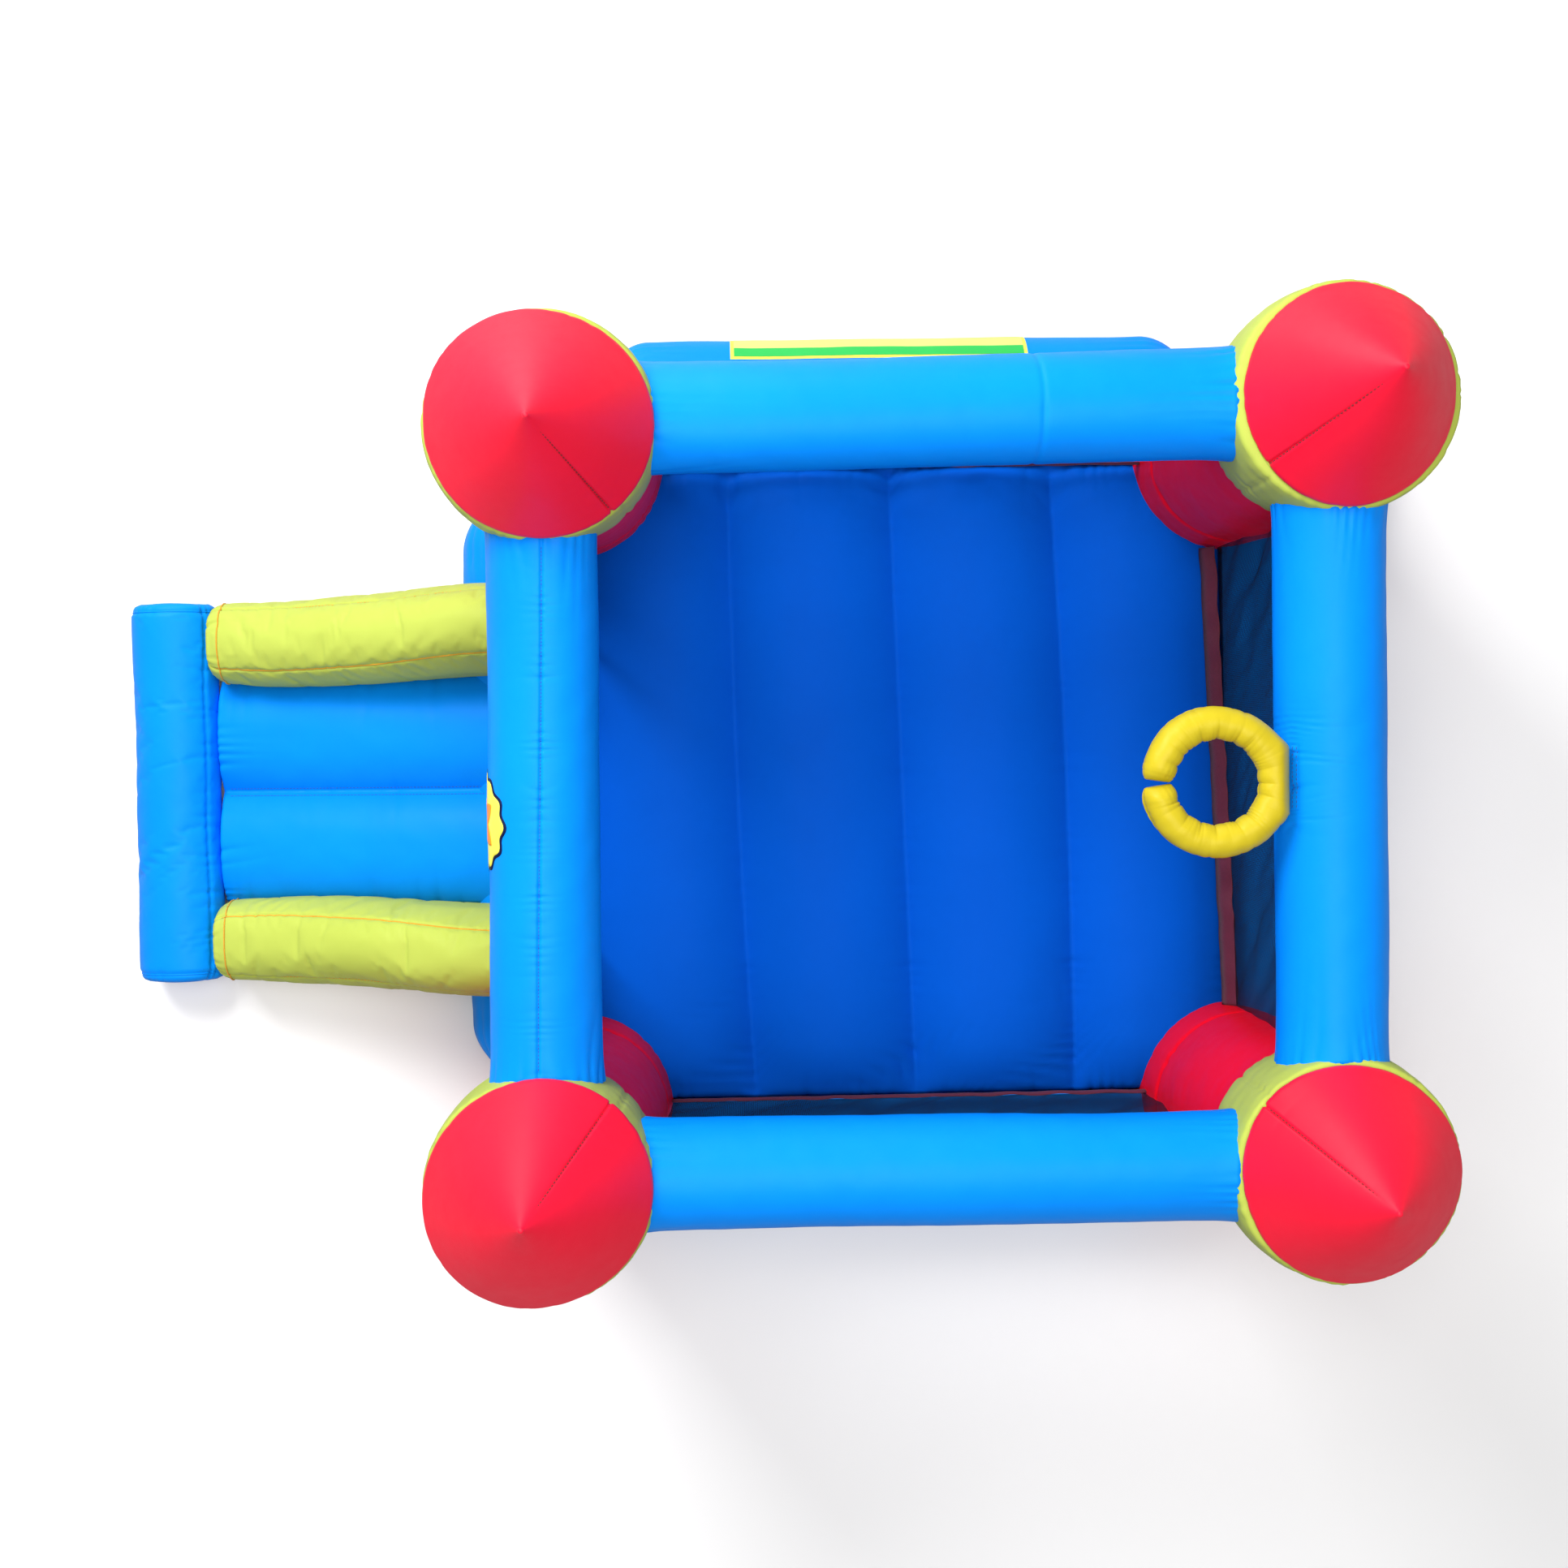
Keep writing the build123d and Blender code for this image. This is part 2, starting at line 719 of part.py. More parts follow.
# ---------------------------------------------------------------- fan
axis_height = 142                # fan shaft above the ground
scroll_start, scroll_end = 88, 112
casing_half = 72                 # half width of the casing along the shaft
casing_wall = 2.5
duct_end = 150
duct_top = -14
inlet_radius = 60
impeller_radius = 76
blade_count = 28
shaft_radius = 4
motor_radius = 36
duct_height = scroll_end + duct_top
duct_centre_z = axis_height + (duct_top - scroll_end) / 2


def on_fan(offset_y):
    """The fan's section plane, moved along the shaft; its z axis points to -Y."""
    return Plane(
        origin=(fan_x, fan_y + offset_y, axis_height), x_dir=(1, 0, 0), z_dir=(0, -1, 0)
    )


def scroll_outline(grow):
    """The snail: its radius grows steadily round to the outlet duct at the bottom."""
    turns = [math.radians(a) for a in range(0, 271, 30)]
    rate = (scroll_end - scroll_start) / turns[-1]
    spiral = [
        (
            (scroll_start + grow + rate * a) * math.cos(a),
            (scroll_start + grow + rate * a) * math.sin(a),
        )
        for a in turns
    ]
    with BuildSketch() as outline:
        with BuildLine():
            Spline(*spiral)
            Polyline(
                spiral[-1],
                (duct_end, -scroll_end - grow),
                (duct_end, duct_top + grow),
                (scroll_start + grow, duct_top + grow),
                spiral[0],
            )
        make_face()
    return outline.sketch_local


def casing_half_shell(side):
    """One half of the fan casing. side is -1 for the half towards the house, 1 for the other."""
    with BuildPart() as half:
        with BuildSketch(on_fan(0)):
            add(scroll_outline(0))
        extrude(amount=-side * casing_half)
        with BuildSketch(on_fan(0)):
            add(scroll_outline(-casing_wall))
        extrude(amount=-side * (casing_half - casing_wall), mode=Mode.SUBTRACT)
        with Locations((fan_x + duct_end, fan_y, duct_centre_z)):
            Box(
                4 * casing_wall,
                2 * (casing_half - casing_wall),
                duct_height - 2 * casing_wall,
                mode=Mode.SUBTRACT,
            )
        with BuildSketch(on_fan(0)):
            Circle(inlet_radius)
            with PolarLocations(inlet_radius + 6, 4, start_angle=45):
                Circle(2.2)
        extrude(amount=-side * 2 * casing_half, mode=Mode.SUBTRACT)
    return half.part


pieces["fan_casing_front"] = casing_half_shell(-1)
pieces["fan_casing_rear"] = casing_half_shell(1)


def make_grille(side):
    """Finger guard: rings joined by four spokes, held by four screws."""
    with BuildPart() as grille:
        with BuildSketch(on_fan(side * casing_half)):
            for outer in range(70, 10, -12):
                Circle(outer)
                Circle(outer - (10 if outer == 70 else 5), mode=Mode.SUBTRACT)
            Circle(8)
            for angle in (0, 90):
                Rectangle(138, 6, rotation=angle)
            with PolarLocations(inlet_radius + 6, 4, start_angle=45):
                Circle(2.2, mode=Mode.SUBTRACT)
        extrude(amount=-side * 3)
    return grille.part


pieces["inlet_grille_front"] = make_grille(-1)
pieces["inlet_grille_rear"] = make_grille(1)

with BuildPart() as grille_screws:
    for side in (-1, 1):
        face = side * (casing_half + 3)
        with BuildSketch(on_fan(face)):
            with PolarLocations(inlet_radius + 6, 4, start_angle=45):
                Circle(4.5)
        extrude(amount=-side * 2.5)
        with BuildSketch(on_fan(face)):
            with PolarLocations(inlet_radius + 6, 4, start_angle=45):
                Circle(2)
        extrude(amount=side * 9)
pieces["grille_screws"] = grille_screws.part

# The fan wheel: two end rings, a web and curved-forward blades, on a hub.
wheel_half = 48
with BuildPart() as fan_wheel:
    for near in (-wheel_half, wheel_half - 3):
        with BuildSketch(on_fan(near)):
            Circle(impeller_radius)
            Circle(impeller_radius - 16, mode=Mode.SUBTRACT)
        extrude(amount=-3)
    with BuildSketch(on_fan(-1)):
        Circle(impeller_radius)
    extrude(amount=-2)
    with BuildSketch(on_fan(-12)):
        Circle(12)
    extrude(amount=-22)
    with BuildSketch(on_fan(-wheel_half)):
        with PolarLocations(impeller_radius - 8, blade_count):
            Rectangle(15, 1.6, rotation=35)
    extrude(amount=-2 * wheel_half)
    with BuildSketch(on_fan(-wheel_half)):
        Circle(shaft_radius + 0.02)
    extrude(amount=-2 * wheel_half, mode=Mode.SUBTRACT)
pieces["fan_wheel"] = fan_wheel.part

with BuildPart() as fan_shaft:
    with BuildSketch(on_fan(-14)):
        Circle(shaft_radius)
    extrude(amount=-50)
pieces["fan_shaft"] = fan_shaft.part

motor_near, motor_far = 14, casing_half - casing_wall - 3
with BuildPart() as fan_motor:
    with BuildSketch(on_fan(motor_near)):
        Circle(motor_radius)
    extrude(amount=-(motor_far - motor_near))
    fillet(fan_motor.faces().sort_by(Axis.Y)[0].edges(), radius=4)
    with BuildSketch(on_fan(motor_near)):
        Circle(shaft_radius + 0.05)
    extrude(amount=-24, mode=Mode.SUBTRACT)
pieces["fan_motor"] = fan_motor.part

with BuildPart() as motor_spider:
    with BuildSketch(on_fan(motor_far)):
        Circle(motor_radius)
        with PolarLocations(40, 4, start_angle=45):
            Rectangle(72, 14)
        with PolarLocations(inlet_radius + 6, 4, start_angle=45):
            Circle(2.2, mode=Mode.SUBTRACT)
    extrude(amount=-3)
pieces["motor_spider"] = motor_spider.part

# Outlet: a flange on the duct, tapering from the duct's rectangle to a round spigot.
spigot_radius = sleeve_radius - fabric - 0.5
taper_start = fan_x + duct_end
taper_end = sleeve_start_x - 12


def duct_section(x, z, inset, is_round):
    with BuildSketch(Plane(origin=(x, fan_y, z), x_dir=(0, 1, 0), z_dir=(1, 0, 0))) as section:
        if is_round:
            Circle(spigot_radius - inset)
        else:
            RectangleRounded(2 * casing_half - 2 * inset, duct_height - 2 * inset, 8)
    return section.sketch


def taper_body(inset):
    with BuildPart() as body:
        loft(
            sections=[
                duct_section(taper_start, duct_centre_z, inset, False),
                duct_section(taper_end, inlet_height, inset, True),
            ]
        )
        with BuildSketch(Plane(origin=(taper_end, fan_y, inlet_height), z_dir=(1, 0, 0))):
            Circle(spigot_radius - inset)
        extrude(amount=60)
    return body.part


taper_outside = taper_body(0)
taper_bore = taper_body(casing_wall)
with BuildPart() as outlet_nozzle:
    add(taper_outside)
    add(taper_bore, mode=Mode.SUBTRACT)
pieces["outlet_nozzle"] = outlet_nozzle.part

# Stand, feet and handle
casing_low = axis_height - scroll_end
stand_top = 12
with BuildPart() as fan_stand:
    with Locations((fan_x + 20, fan_y, stand_top - 2)):
        Box(210, 150, 4)
    for x in (fan_x - 50, fan_x + 90):
        with Locations((x, fan_y, (stand_top + casing_low + 16) / 2)):
            Box(10, 120, casing_low + 16 - stand_top)
    with BuildSketch(on_fan(-casing_half - 1)):
        add(scroll_outline(0.3))
    extrude(amount=-2 * casing_half - 2, mode=Mode.SUBTRACT)
pieces["fan_stand"] = fan_stand.part

with BuildPart() as fan_feet:
    with Locations((fan_x + 20, fan_y, (stand_top - 4) / 2)):
        with GridLocations(180, 120, 2, 2):
            Cylinder(10, stand_top - 4)
pieces["fan_feet"] = fan_feet.part

handle_top = 40
with BuildPart() as carry_handle:
    with BuildLine(on_fan(0)):
        posts = FilletPolyline(
            (-45, 80), (-45, 95 + handle_top), (45, 95 + handle_top), (45, 80), radius=18
        )
    with BuildSketch(Plane(origin=posts @ 0, z_dir=posts % 0)):
        Circle(8)
    sweep()
    with BuildSketch(on_fan(-casing_half - 1)):
        add(scroll_outline(0.3))
    extrude(amount=-2 * casing_half - 2, mode=Mode.SUBTRACT)
pieces["carry_handle"] = carry_handle.part

# Switch box on top of the duct, with a rocker that tips about a pin along Y.
box_x = fan_x + 122
box_low = axis_height + duct_top + 0.2
box_high = box_low + 30
rocker_pivot_z = box_high - 3
with BuildPart() as switch_box:
    with Locations((box_x, fan_y, (box_low + box_high) / 2)):
        Box(46, 60, box_high - box_low)
    fillet(switch_box.edges().filter_by(Axis.Z), radius=4)
    with Locations((box_x, fan_y, box_high)):
        Box(20, 14, 22, mode=Mode.SUBTRACT)
    with Locations(Plane(origin=(box_x, fan_y, rocker_pivot_z), z_dir=(0, 1, 0))):
        Cylinder(1.55, 30, mode=Mode.SUBTRACT)
pieces["switch_box"] = switch_box.part

with BuildPart() as switch_rocker:
    with BuildSketch(Plane(origin=(box_x, fan_y, rocker_pivot_z), x_dir=(1, 0, 0), z_dir=(0, -1, 0))):
        with BuildLine():
            Polyline((-9, 0), (-9, 4.5), (0, 3), (9, 4.5), (9, 0))
            ThreePointArc((9, 0), (0, -7), (-9, 0))
        make_face()
    extrude(amount=6.5, both=True)
    with Locations(Plane(origin=(box_x, fan_y, rocker_pivot_z), z_dir=(0, 1, 0))):
        Cylinder(1.5, 24)
pieces["switch_rocker"] = switch_rocker.part

# Power cord: out of the switch box, over the casing and coiled flat on the ground behind.
cord_radius = 3.5
coil_x = fan_x + 40
coil_y = fan_y + 118
coil_turns = 2
coil_start = math.radians(90)
cord_lie = cord_radius + 1.5


def coil_point(turn):
    """A flat oval spiral that opens outwards."""
    angle = coil_start + 2 * math.pi * turn
    return (
        coil_x + (56 + 9 * turn) * math.cos(angle),
        coil_y + (22 + 9 * turn) * math.sin(angle),
        cord_lie,
    )


with BuildPart() as power_cord:
    with BuildLine():
        cord_path = Spline(
            (box_x, fan_y + 30.5, box_low + 14),
            (box_x, fan_y + 36, box_low + 14),
            (box_x - 3, fan_y + 78, box_low),
            (box_x - 16, fan_y + 104, 80),
            (box_x - 36, fan_y + 126, 24),
            *[coil_point(turn / 8) for turn in range(8 * coil_turns + 1)],
            (coil_x - 40, coil_y + 43, cord_lie),
            (coil_x - 75, coil_y + 46, cord_lie),
        )
    with BuildSketch(Plane(origin=cord_path @ 0, z_dir=cord_path % 0)):
        Circle(cord_radius)
    sweep()
pieces["power_cord"] = power_cord.part

plug_length = 36
with BuildPart() as power_plug:
    with BuildSketch(Plane(origin=cord_path @ 1, z_dir=cord_path % 1, x_dir=(0, 0, 1)).offset(0.2)):
        with Locations((8, 0)):
            RectangleRounded(22, 26, 4)
    extrude(amount=plug_length)
    with BuildSketch(
        Plane(origin=cord_path @ 1, z_dir=cord_path % 1, x_dir=(0, 0, 1)).offset(plug_length)
    ):
        with Locations((8, -6.5), (8, 6.5)):
            Circle(2)
    extrude(amount=18)
pieces["power_plug"] = power_plug.part


# ---------------------------------------------------------------- export
os.makedirs("parts", exist_ok=True)
for name, part in pieces.items():
    part.label = name
    export_step(part, f"parts/{name}.step")
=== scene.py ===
"""Looks of the inflatable bounce house: coated nylon chambers, nets, hoop and fan."""

import json
import math

import bpy
import numpy as np
from mathutils import Matrix, Vector


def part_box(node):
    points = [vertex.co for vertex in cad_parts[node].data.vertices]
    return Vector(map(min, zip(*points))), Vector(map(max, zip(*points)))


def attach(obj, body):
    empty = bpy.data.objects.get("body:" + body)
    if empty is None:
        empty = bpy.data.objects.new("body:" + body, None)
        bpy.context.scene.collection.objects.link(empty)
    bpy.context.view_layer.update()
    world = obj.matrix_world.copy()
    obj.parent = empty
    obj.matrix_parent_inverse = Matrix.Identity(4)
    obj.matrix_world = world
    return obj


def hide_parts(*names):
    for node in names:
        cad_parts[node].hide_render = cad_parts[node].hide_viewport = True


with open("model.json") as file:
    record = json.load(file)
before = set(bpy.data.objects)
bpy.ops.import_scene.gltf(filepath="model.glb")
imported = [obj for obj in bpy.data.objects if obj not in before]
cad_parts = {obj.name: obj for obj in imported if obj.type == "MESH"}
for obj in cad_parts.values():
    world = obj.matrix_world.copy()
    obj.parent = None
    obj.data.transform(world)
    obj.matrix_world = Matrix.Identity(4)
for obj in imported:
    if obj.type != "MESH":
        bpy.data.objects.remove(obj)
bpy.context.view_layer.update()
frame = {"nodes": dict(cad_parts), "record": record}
TAU = 2 * math.pi
UP = np.array([0, 0, 1.0])
CORNERS = {
    "front_left": (-1, -1),
    "front_right": (1, -1),
    "rear_left": (-1, 1),
    "rear_right": (1, 1),
}
SIDES = {"left": -1, "right": 1}


def size_of(node):
    """Length of a CAD part along each axis."""
    low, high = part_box(node)
    return high - low


def middle_of(node):
    """Middle of a CAD part's box."""
    low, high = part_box(node)
    return (low + high) / 2


def joint_place(name):
    """A point on a joint's axis, from the record."""
    joints = frame["record"]["behaviour"]["joints"]
    return Vector(next(j["pos_m"] for j in joints if j["name"] == name))


# ------------------------------------------------------------------ sizes read from the frame
tower = {c: middle_of("column_" + c) for c in CORNERS}
tower_x = tower["front_right"].x
tower_y = tower["rear_right"].y
column_r = size_of("column_front_left").x / 2
column_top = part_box("column_front_left")[1].z
collar_r = size_of("collar_front_left").x / 2
collar_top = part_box("collar_front_left")[1].z
cap_r = size_of("cap_front_left").x / 2
tip_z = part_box("cap_front_left")[1].z
tube_r = size_of("tube_front").z / 2
tube_z = middle_of("tube_front").z
floor_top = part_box("bounce_floor")[1].z
wall_out_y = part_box("wall_rear")[1].y
wall_out_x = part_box("wall_right")[1].x
wall_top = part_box("wall_rear")[1].z
zip_low, zip_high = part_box("deflation_zip")
house_middle = np.array([0, 0, wall_top])


# ------------------------------------------------------------------ shape helpers
def joined(*coordinates):
    """One array of points from coordinates that are spread over each other."""
    return np.stack(np.broadcast_arrays(*coordinates), -1)


def field(points, wavelength, seed, waves=14):
    """Smooth irregular field of about -1 to 1 at an (..., k) array of points."""
    rng = np.random.default_rng(seed)
    points = np.asarray(points, float)
    total = np.zeros(points.shape[:-1])
    for _ in range(waves):
        way = rng.normal(size=points.shape[-1])
        way *= rng.uniform(0.6, 1.5) * TAU / wavelength / np.linalg.norm(way)
        total += np.sin(points @ way + rng.uniform(0, TAU))
    return total / math.sqrt(waves / 2) * 0.6


def rumples(points, seed, *layers):
    """Soft unevenness of cloth: layers of (height, wavelength)."""
    return sum(height * field(points, wave, seed + k) for k, (height, wave) in enumerate(layers))


def smooth(x):
    """Rises from 0 to 1 with no corner at either end."""
    x = np.clip(x, 0, 1)
    return x * x * (3 - 2 * x)


def quarter(x):
    """Rises from 0 to 1 along a quarter of a circle, steep at first."""
    return np.sqrt(1 - (1 - np.clip(x, 0, 1)) ** 2)


def puckers(along, away, spacing, reach, depth, seed, slant=0.0):
    """Folds that run away from a seam: sharp valleys at uneven spacing, fading with distance."""
    where = joined(along, away * 0.25)
    shift = along + slant * away + spacing * 0.9 * field(where, 6 * spacing, seed)
    phase = shift / spacing * math.pi
    ridge = 1 - np.abs(np.sin(phase)) ** 0.6 * 2
    strength = 0.55 + 0.6 * field(where, 4 * spacing, seed + 1)
    length = reach * (0.7 + 0.5 * field(where[..., :1], 5 * spacing, seed + 2))
    fade = np.exp(-np.abs(away) / np.maximum(length, reach * 0.25))
    return -depth * np.clip(strength, 0, 1.4) * fade * (0.5 + 0.5 * ridge)


def seam(away, depth=0.004, width=0.006):
    """Narrow valley where two panels are sewn together."""
    return -depth * np.exp(-((away / width) ** 2))


def lift(surface, u, v, height):
    """Points of surface(u, v) moved out along its normal by height."""
    step = 1e-4
    du = surface(u + step, v) - surface(u - step, v)
    dv = surface(u, v + step) - surface(u, v - step)
    normal = np.cross(du, dv)
    length = np.linalg.norm(normal, axis=-1, keepdims=True)
    return surface(u, v) + normal / np.maximum(length, 1e-12) * np.asarray(height)[..., None]


def directions(points, centres):
    """Unit vectors from the centres to the points."""
    way = points - centres
    return way / np.linalg.norm(way, axis=-1, keepdims=True)


# The towers are blown up unevenly: shift (x, y) of each at its tubes, its cap's rim and its tip.
TOWER_LEAN = {
    "front_left": ((0.014, -0.005), (0.041, 0.004), (0.071, 0.009)),
    "front_right": ((-0.020, -0.015), (-0.010, -0.031), (-0.011, -0.034)),
    "rear_left": ((-0.007, 0.0), (-0.003, 0.011), (-0.005, 0.025)),
    "rear_right": ((-0.007, 0.0), (-0.014, 0.0), (-0.003, -0.002)),
}
COLUMN_SHARE = 0.85                  # how much of the rim's shift a column's top takes


def lean(points, tower_only=False):
    """Moves points with the leaning towers; the floor and the walls stay where they are."""
    out = np.array(points, float)
    levels = (wall_top, column_top if tower_only else tube_z, collar_top, tip_z)
    beside = [smooth((sign * out[..., 0] / tower_x + 1) / 2) for sign in (-1, 1)]
    along = [smooth((sign * out[..., 1] / tower_y + 1) / 2) for sign in (-1, 1)]
    for corner, (at_tubes, at_rim, at_tip) in TOWER_LEAN.items():
        sx, sy = CORNERS[corner]
        share = beside[sx > 0] * along[sy > 0]
        for axis in (0, 1):
            low = COLUMN_SHARE * at_rim[axis] if tower_only else at_tubes[axis]
            move = np.interp(points[..., 2], levels, (0.0, low, at_rim[axis], at_tip[axis]))
            out[..., axis] += share * move
    return out


def face_outwards(mesh, centre):
    """Turns a mesh's faces so that they look away from the centre."""
    count = len(mesh.polygons)
    area, normal, place = np.zeros(count), np.zeros(count * 3), np.zeros(count * 3)
    mesh.polygons.foreach_get("area", area)
    mesh.polygons.foreach_get("normal", normal)
    mesh.polygons.foreach_get("center", place)
    away = (normal.reshape(-1, 3) * (place.reshape(-1, 3) - centre)).sum(1)
    if (away * area).sum() < 0:
        mesh.flip_normals()


def mesh_piece(
    name, points, faces, material, body="house", uv=None, replaces=(), slot=None, leaning=True,
    centre=None,
):
    """One mesh piece of the object, riding on a CAD body; it faces away from its centre."""
    points = np.asarray(points, float).reshape(-1, 3)
    if leaning:
        points = lean(points, leaning == "tower")
    mesh = bpy.data.meshes.new(name)
    mesh.from_pydata(points.tolist(), [], [list(f) for f in faces])
    mesh.polygons.foreach_set("use_smooth", [True] * len(mesh.polygons))
    if uv is not None:
        layer = mesh.uv_layers.new(name="metres")
        loops = np.zeros(len(mesh.loops), np.int32)
        mesh.loops.foreach_get("vertex_index", loops)
        layer.data.foreach_set("uv", np.asarray(uv, float).reshape(-1, 2)[loops].ravel())
    mesh.materials.append(material)
    mesh.validate()
    face_outwards(mesh, points.mean(0) if centre is None else centre)
    piece = bpy.data.objects.new(name, mesh)
    bpy.context.scene.collection.objects.link(piece)
    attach(piece, body)
    if replaces:
        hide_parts(*replaces)


def grid_faces(rows, columns, wrap=False):
    """Quads of a rows x columns grid of points; wrap joins the last column to the first."""
    r = np.arange(rows - 1)[:, None] * columns
    c = np.arange(columns if wrap else columns - 1)[None, :]
    d = (c + 1) % columns
    return np.stack([r + c, r + d, r + columns + d, r + columns + c], -1).reshape(-1, 4)


def rows_to_uv(points):
    """Cloth coordinates in metres measured along the grid's two directions."""
    along = np.linalg.norm(np.diff(points, axis=0), axis=-1).mean(1)
    across = np.linalg.norm(np.diff(points, axis=1), axis=-1).mean(0)
    v = np.concatenate([[0], np.cumsum(along)])
    u = np.concatenate([[0], np.cumsum(across)])
    return joined(u[None, :], v[:, None])


def grid_piece(name, points, material, wrap=False, ends=False, **rest):
    """A piece made of one grid of points; ends closes a wrapped grid at both ends."""
    rows, columns = points.shape[:2]
    faces = grid_faces(rows, columns, wrap).tolist()
    uv = rows_to_uv(points).reshape(-1, 2)
    flat = points.reshape(-1, 3)
    if ends:
        for row, turn in ((0, -1), (rows - 1, 1)):
            ring = list(range(row * columns, (row + 1) * columns))
            centre = len(flat)
            flat = np.vstack([flat, flat[ring].mean(0)])
            uv = np.vstack([uv, uv[ring].mean(0)])
            for a, b in zip(ring, ring[1:] + ring[:1]):
                faces.append([centre, *(a, b)[::turn]])
    mesh_piece(name, flat, faces, material, uv=uv, **rest)


def closed_piece(name, points, material, **rest):
    """A piece from rings of points, closed at both ends."""
    grid_piece(name, points, material, wrap=True, ends=True, **rest)


def sheet_piece(name, sheet, down, material, **rest):
    """A piece of flat tape: a grid of points and the same grid moved down by its thickness."""
    closed_piece(name, np.concatenate([sheet, sheet[:, ::-1] - down], 1), material, **rest)


def slab_piece(name, top, ground, material, **rest):
    """A solid block under a grid of points, with upright sides down to the ground's height."""
    rows, columns = top.shape[:2]
    low = top.copy()
    low[..., 2] = ground
    count = rows * columns
    index = np.arange(count).reshape(rows, columns)
    quads = grid_faces(rows, columns)
    border = [*index[:, 0], *index[-1, 1:], *index[-2::-1, -1], *index[0, -2:0:-1]]
    faces = quads.tolist() + (quads[:, ::-1] + count).tolist()
    for a, b in zip(border, border[1:] + border[:1]):
        faces.append([a, b, b + count, a + count])
    mesh_piece(name, np.stack([top, low]), faces, material, uv=np.stack([top, top])[..., :2], **rest)


def even_steps(path, pitch):
    """Points at equal spacing along a path, with the direction of the path at each."""
    path = np.asarray(path, float)
    run = np.concatenate([[0], np.cumsum(np.linalg.norm(np.diff(path, axis=0), axis=1))])
    count = max(int(run[-1] / pitch), 2)
    at = (np.arange(count) + 0.5) * run[-1] / count
    place, ahead, behind = (
        np.stack([np.interp(at + shift, run, path[:, k]) for k in range(3)], -1)
        for shift in (0, 0.3 * pitch, -0.3 * pitch)
    )
    way = ahead - behind
    return place, way / np.maximum(np.linalg.norm(way, axis=1, keepdims=True), 1e-9)


def cross_frame(way):
    """Two directions square to each row of way."""
    helper = np.where(np.abs(way[:, 2:3]) > 0.9, [[1.0, 0, 0]], [[0, 0, 1.0]])
    first = np.cross(way, helper)
    first /= np.linalg.norm(first, axis=1, keepdims=True)
    return first, np.cross(way, first)


def stitch_row(name, path, material, pitch=0.010, length=0.007, radius=0.0011, **rest):
    """A row of thread stitches: one small pointed bead for each stitch."""
    place, way = even_steps(path, pitch)
    first, second = cross_frame(way)
    sides = 5
    outline = ((-1.0, 0.35), (-0.55, 1.0), (0.55, 1.0), (1.0, 0.35))     # (place along, thickness)
    points = []
    for along, share in outline:
        for turn in np.arange(sides) * TAU / sides:
            offset = (first * math.cos(turn) + second * math.sin(turn)) * radius * share
            points.append(place + way * along * length / 2 + offset)
    count = len(points)
    bead = grid_faces(len(outline), sides, wrap=True).tolist()
    bead += [list(range(sides))[::-1], list(range(count - sides, count))]
    faces = [[v + i * count for v in face] for i in range(len(place)) for face in bead]
    mesh_piece(name, np.stack(points, 1), faces, material, **rest)


def cord(name, path, radius, material, closed=False, sides=8, **rest):
    """A round cord along a path, such as the piping in a seam."""
    path = np.asarray(path, float)
    way = np.roll(path, -1, 0) - np.roll(path, 1, 0) if closed else np.gradient(path, axis=0)
    way /= np.linalg.norm(way, axis=1, keepdims=True)
    first, second = cross_frame(way)
    turn = np.linspace(0, TAU, sides, endpoint=False)[None, :, None]
    points = path[:, None] + radius * (first[:, None] * np.cos(turn) + second[:, None] * np.sin(turn))
    if closed:
        points = np.concatenate([points, points[:1]])
    grid_piece(name, points, material, wrap=True, ends=not closed, **rest)


CLOTH = {
    "vertex_group_mass": "pins",
    "quality": 6,
    "mass": 0.2,
    "tension_stiffness": 30,
    "compression_stiffness": 30,
    "shear_stiffness": 10,
    "bending_stiffness": 1.5,
    "tension_damping": 20,
    "compression_damping": 20,
    "use_pressure": True,
    "uniform_pressure_force": 4.0,
}
CLOTH_FRAMES = 20


def inflated(points, pins, growth=0.012, reach=0.012):
    """Blows rings of points up as cloth that is a little too big for its pinned seams."""
    flat = points.reshape(-1, 3)
    mesh = bpy.data.meshes.new("skin")
    mesh.from_pydata(flat.tolist(), [], grid_faces(*points.shape[:2], wrap=True).tolist())
    face_outwards(mesh, flat.mean(0))
    skin = bpy.data.objects.new("skin", mesh)
    bpy.context.scene.collection.objects.link(skin)
    group = skin.vertex_groups.new(name="pins")
    for strength in (0.25, 0.5, 0.75, 1.0):
        chosen = np.flatnonzero(np.abs(np.ravel(pins) - strength) <= 0.125)
        group.add(chosen.tolist(), strength, "REPLACE")
    cloth = skin.modifiers.new("cloth", "CLOTH")
    for name, value in CLOTH.items():
        setattr(cloth.settings, name, value)
    cloth.settings.shrink_min = cloth.settings.shrink_max = -growth
    cloth.settings.effector_weights.gravity = 0
    cloth.collision_settings.use_collision = False
    cloth.point_cache.frame_start = 1
    cloth.point_cache.frame_end = CLOTH_FRAMES
    for number in range(1, CLOTH_FRAMES + 1):
        bpy.context.scene.frame_set(number)
    shape = skin.evaluated_get(bpy.context.evaluated_depsgraph_get())
    made = np.zeros(len(flat) * 3)
    shape.data.vertices.foreach_get("co", made)
    move = made.reshape(-1, 3) - flat
    size = np.linalg.norm(move, axis=1, keepdims=True)
    move *= np.minimum(1, reach / np.maximum(size, 1e-9))
    bpy.data.objects.remove(skin)
    bpy.data.meshes.remove(mesh)
    bpy.context.scene.frame_set(1)
    return (flat + move).reshape(points.shape)


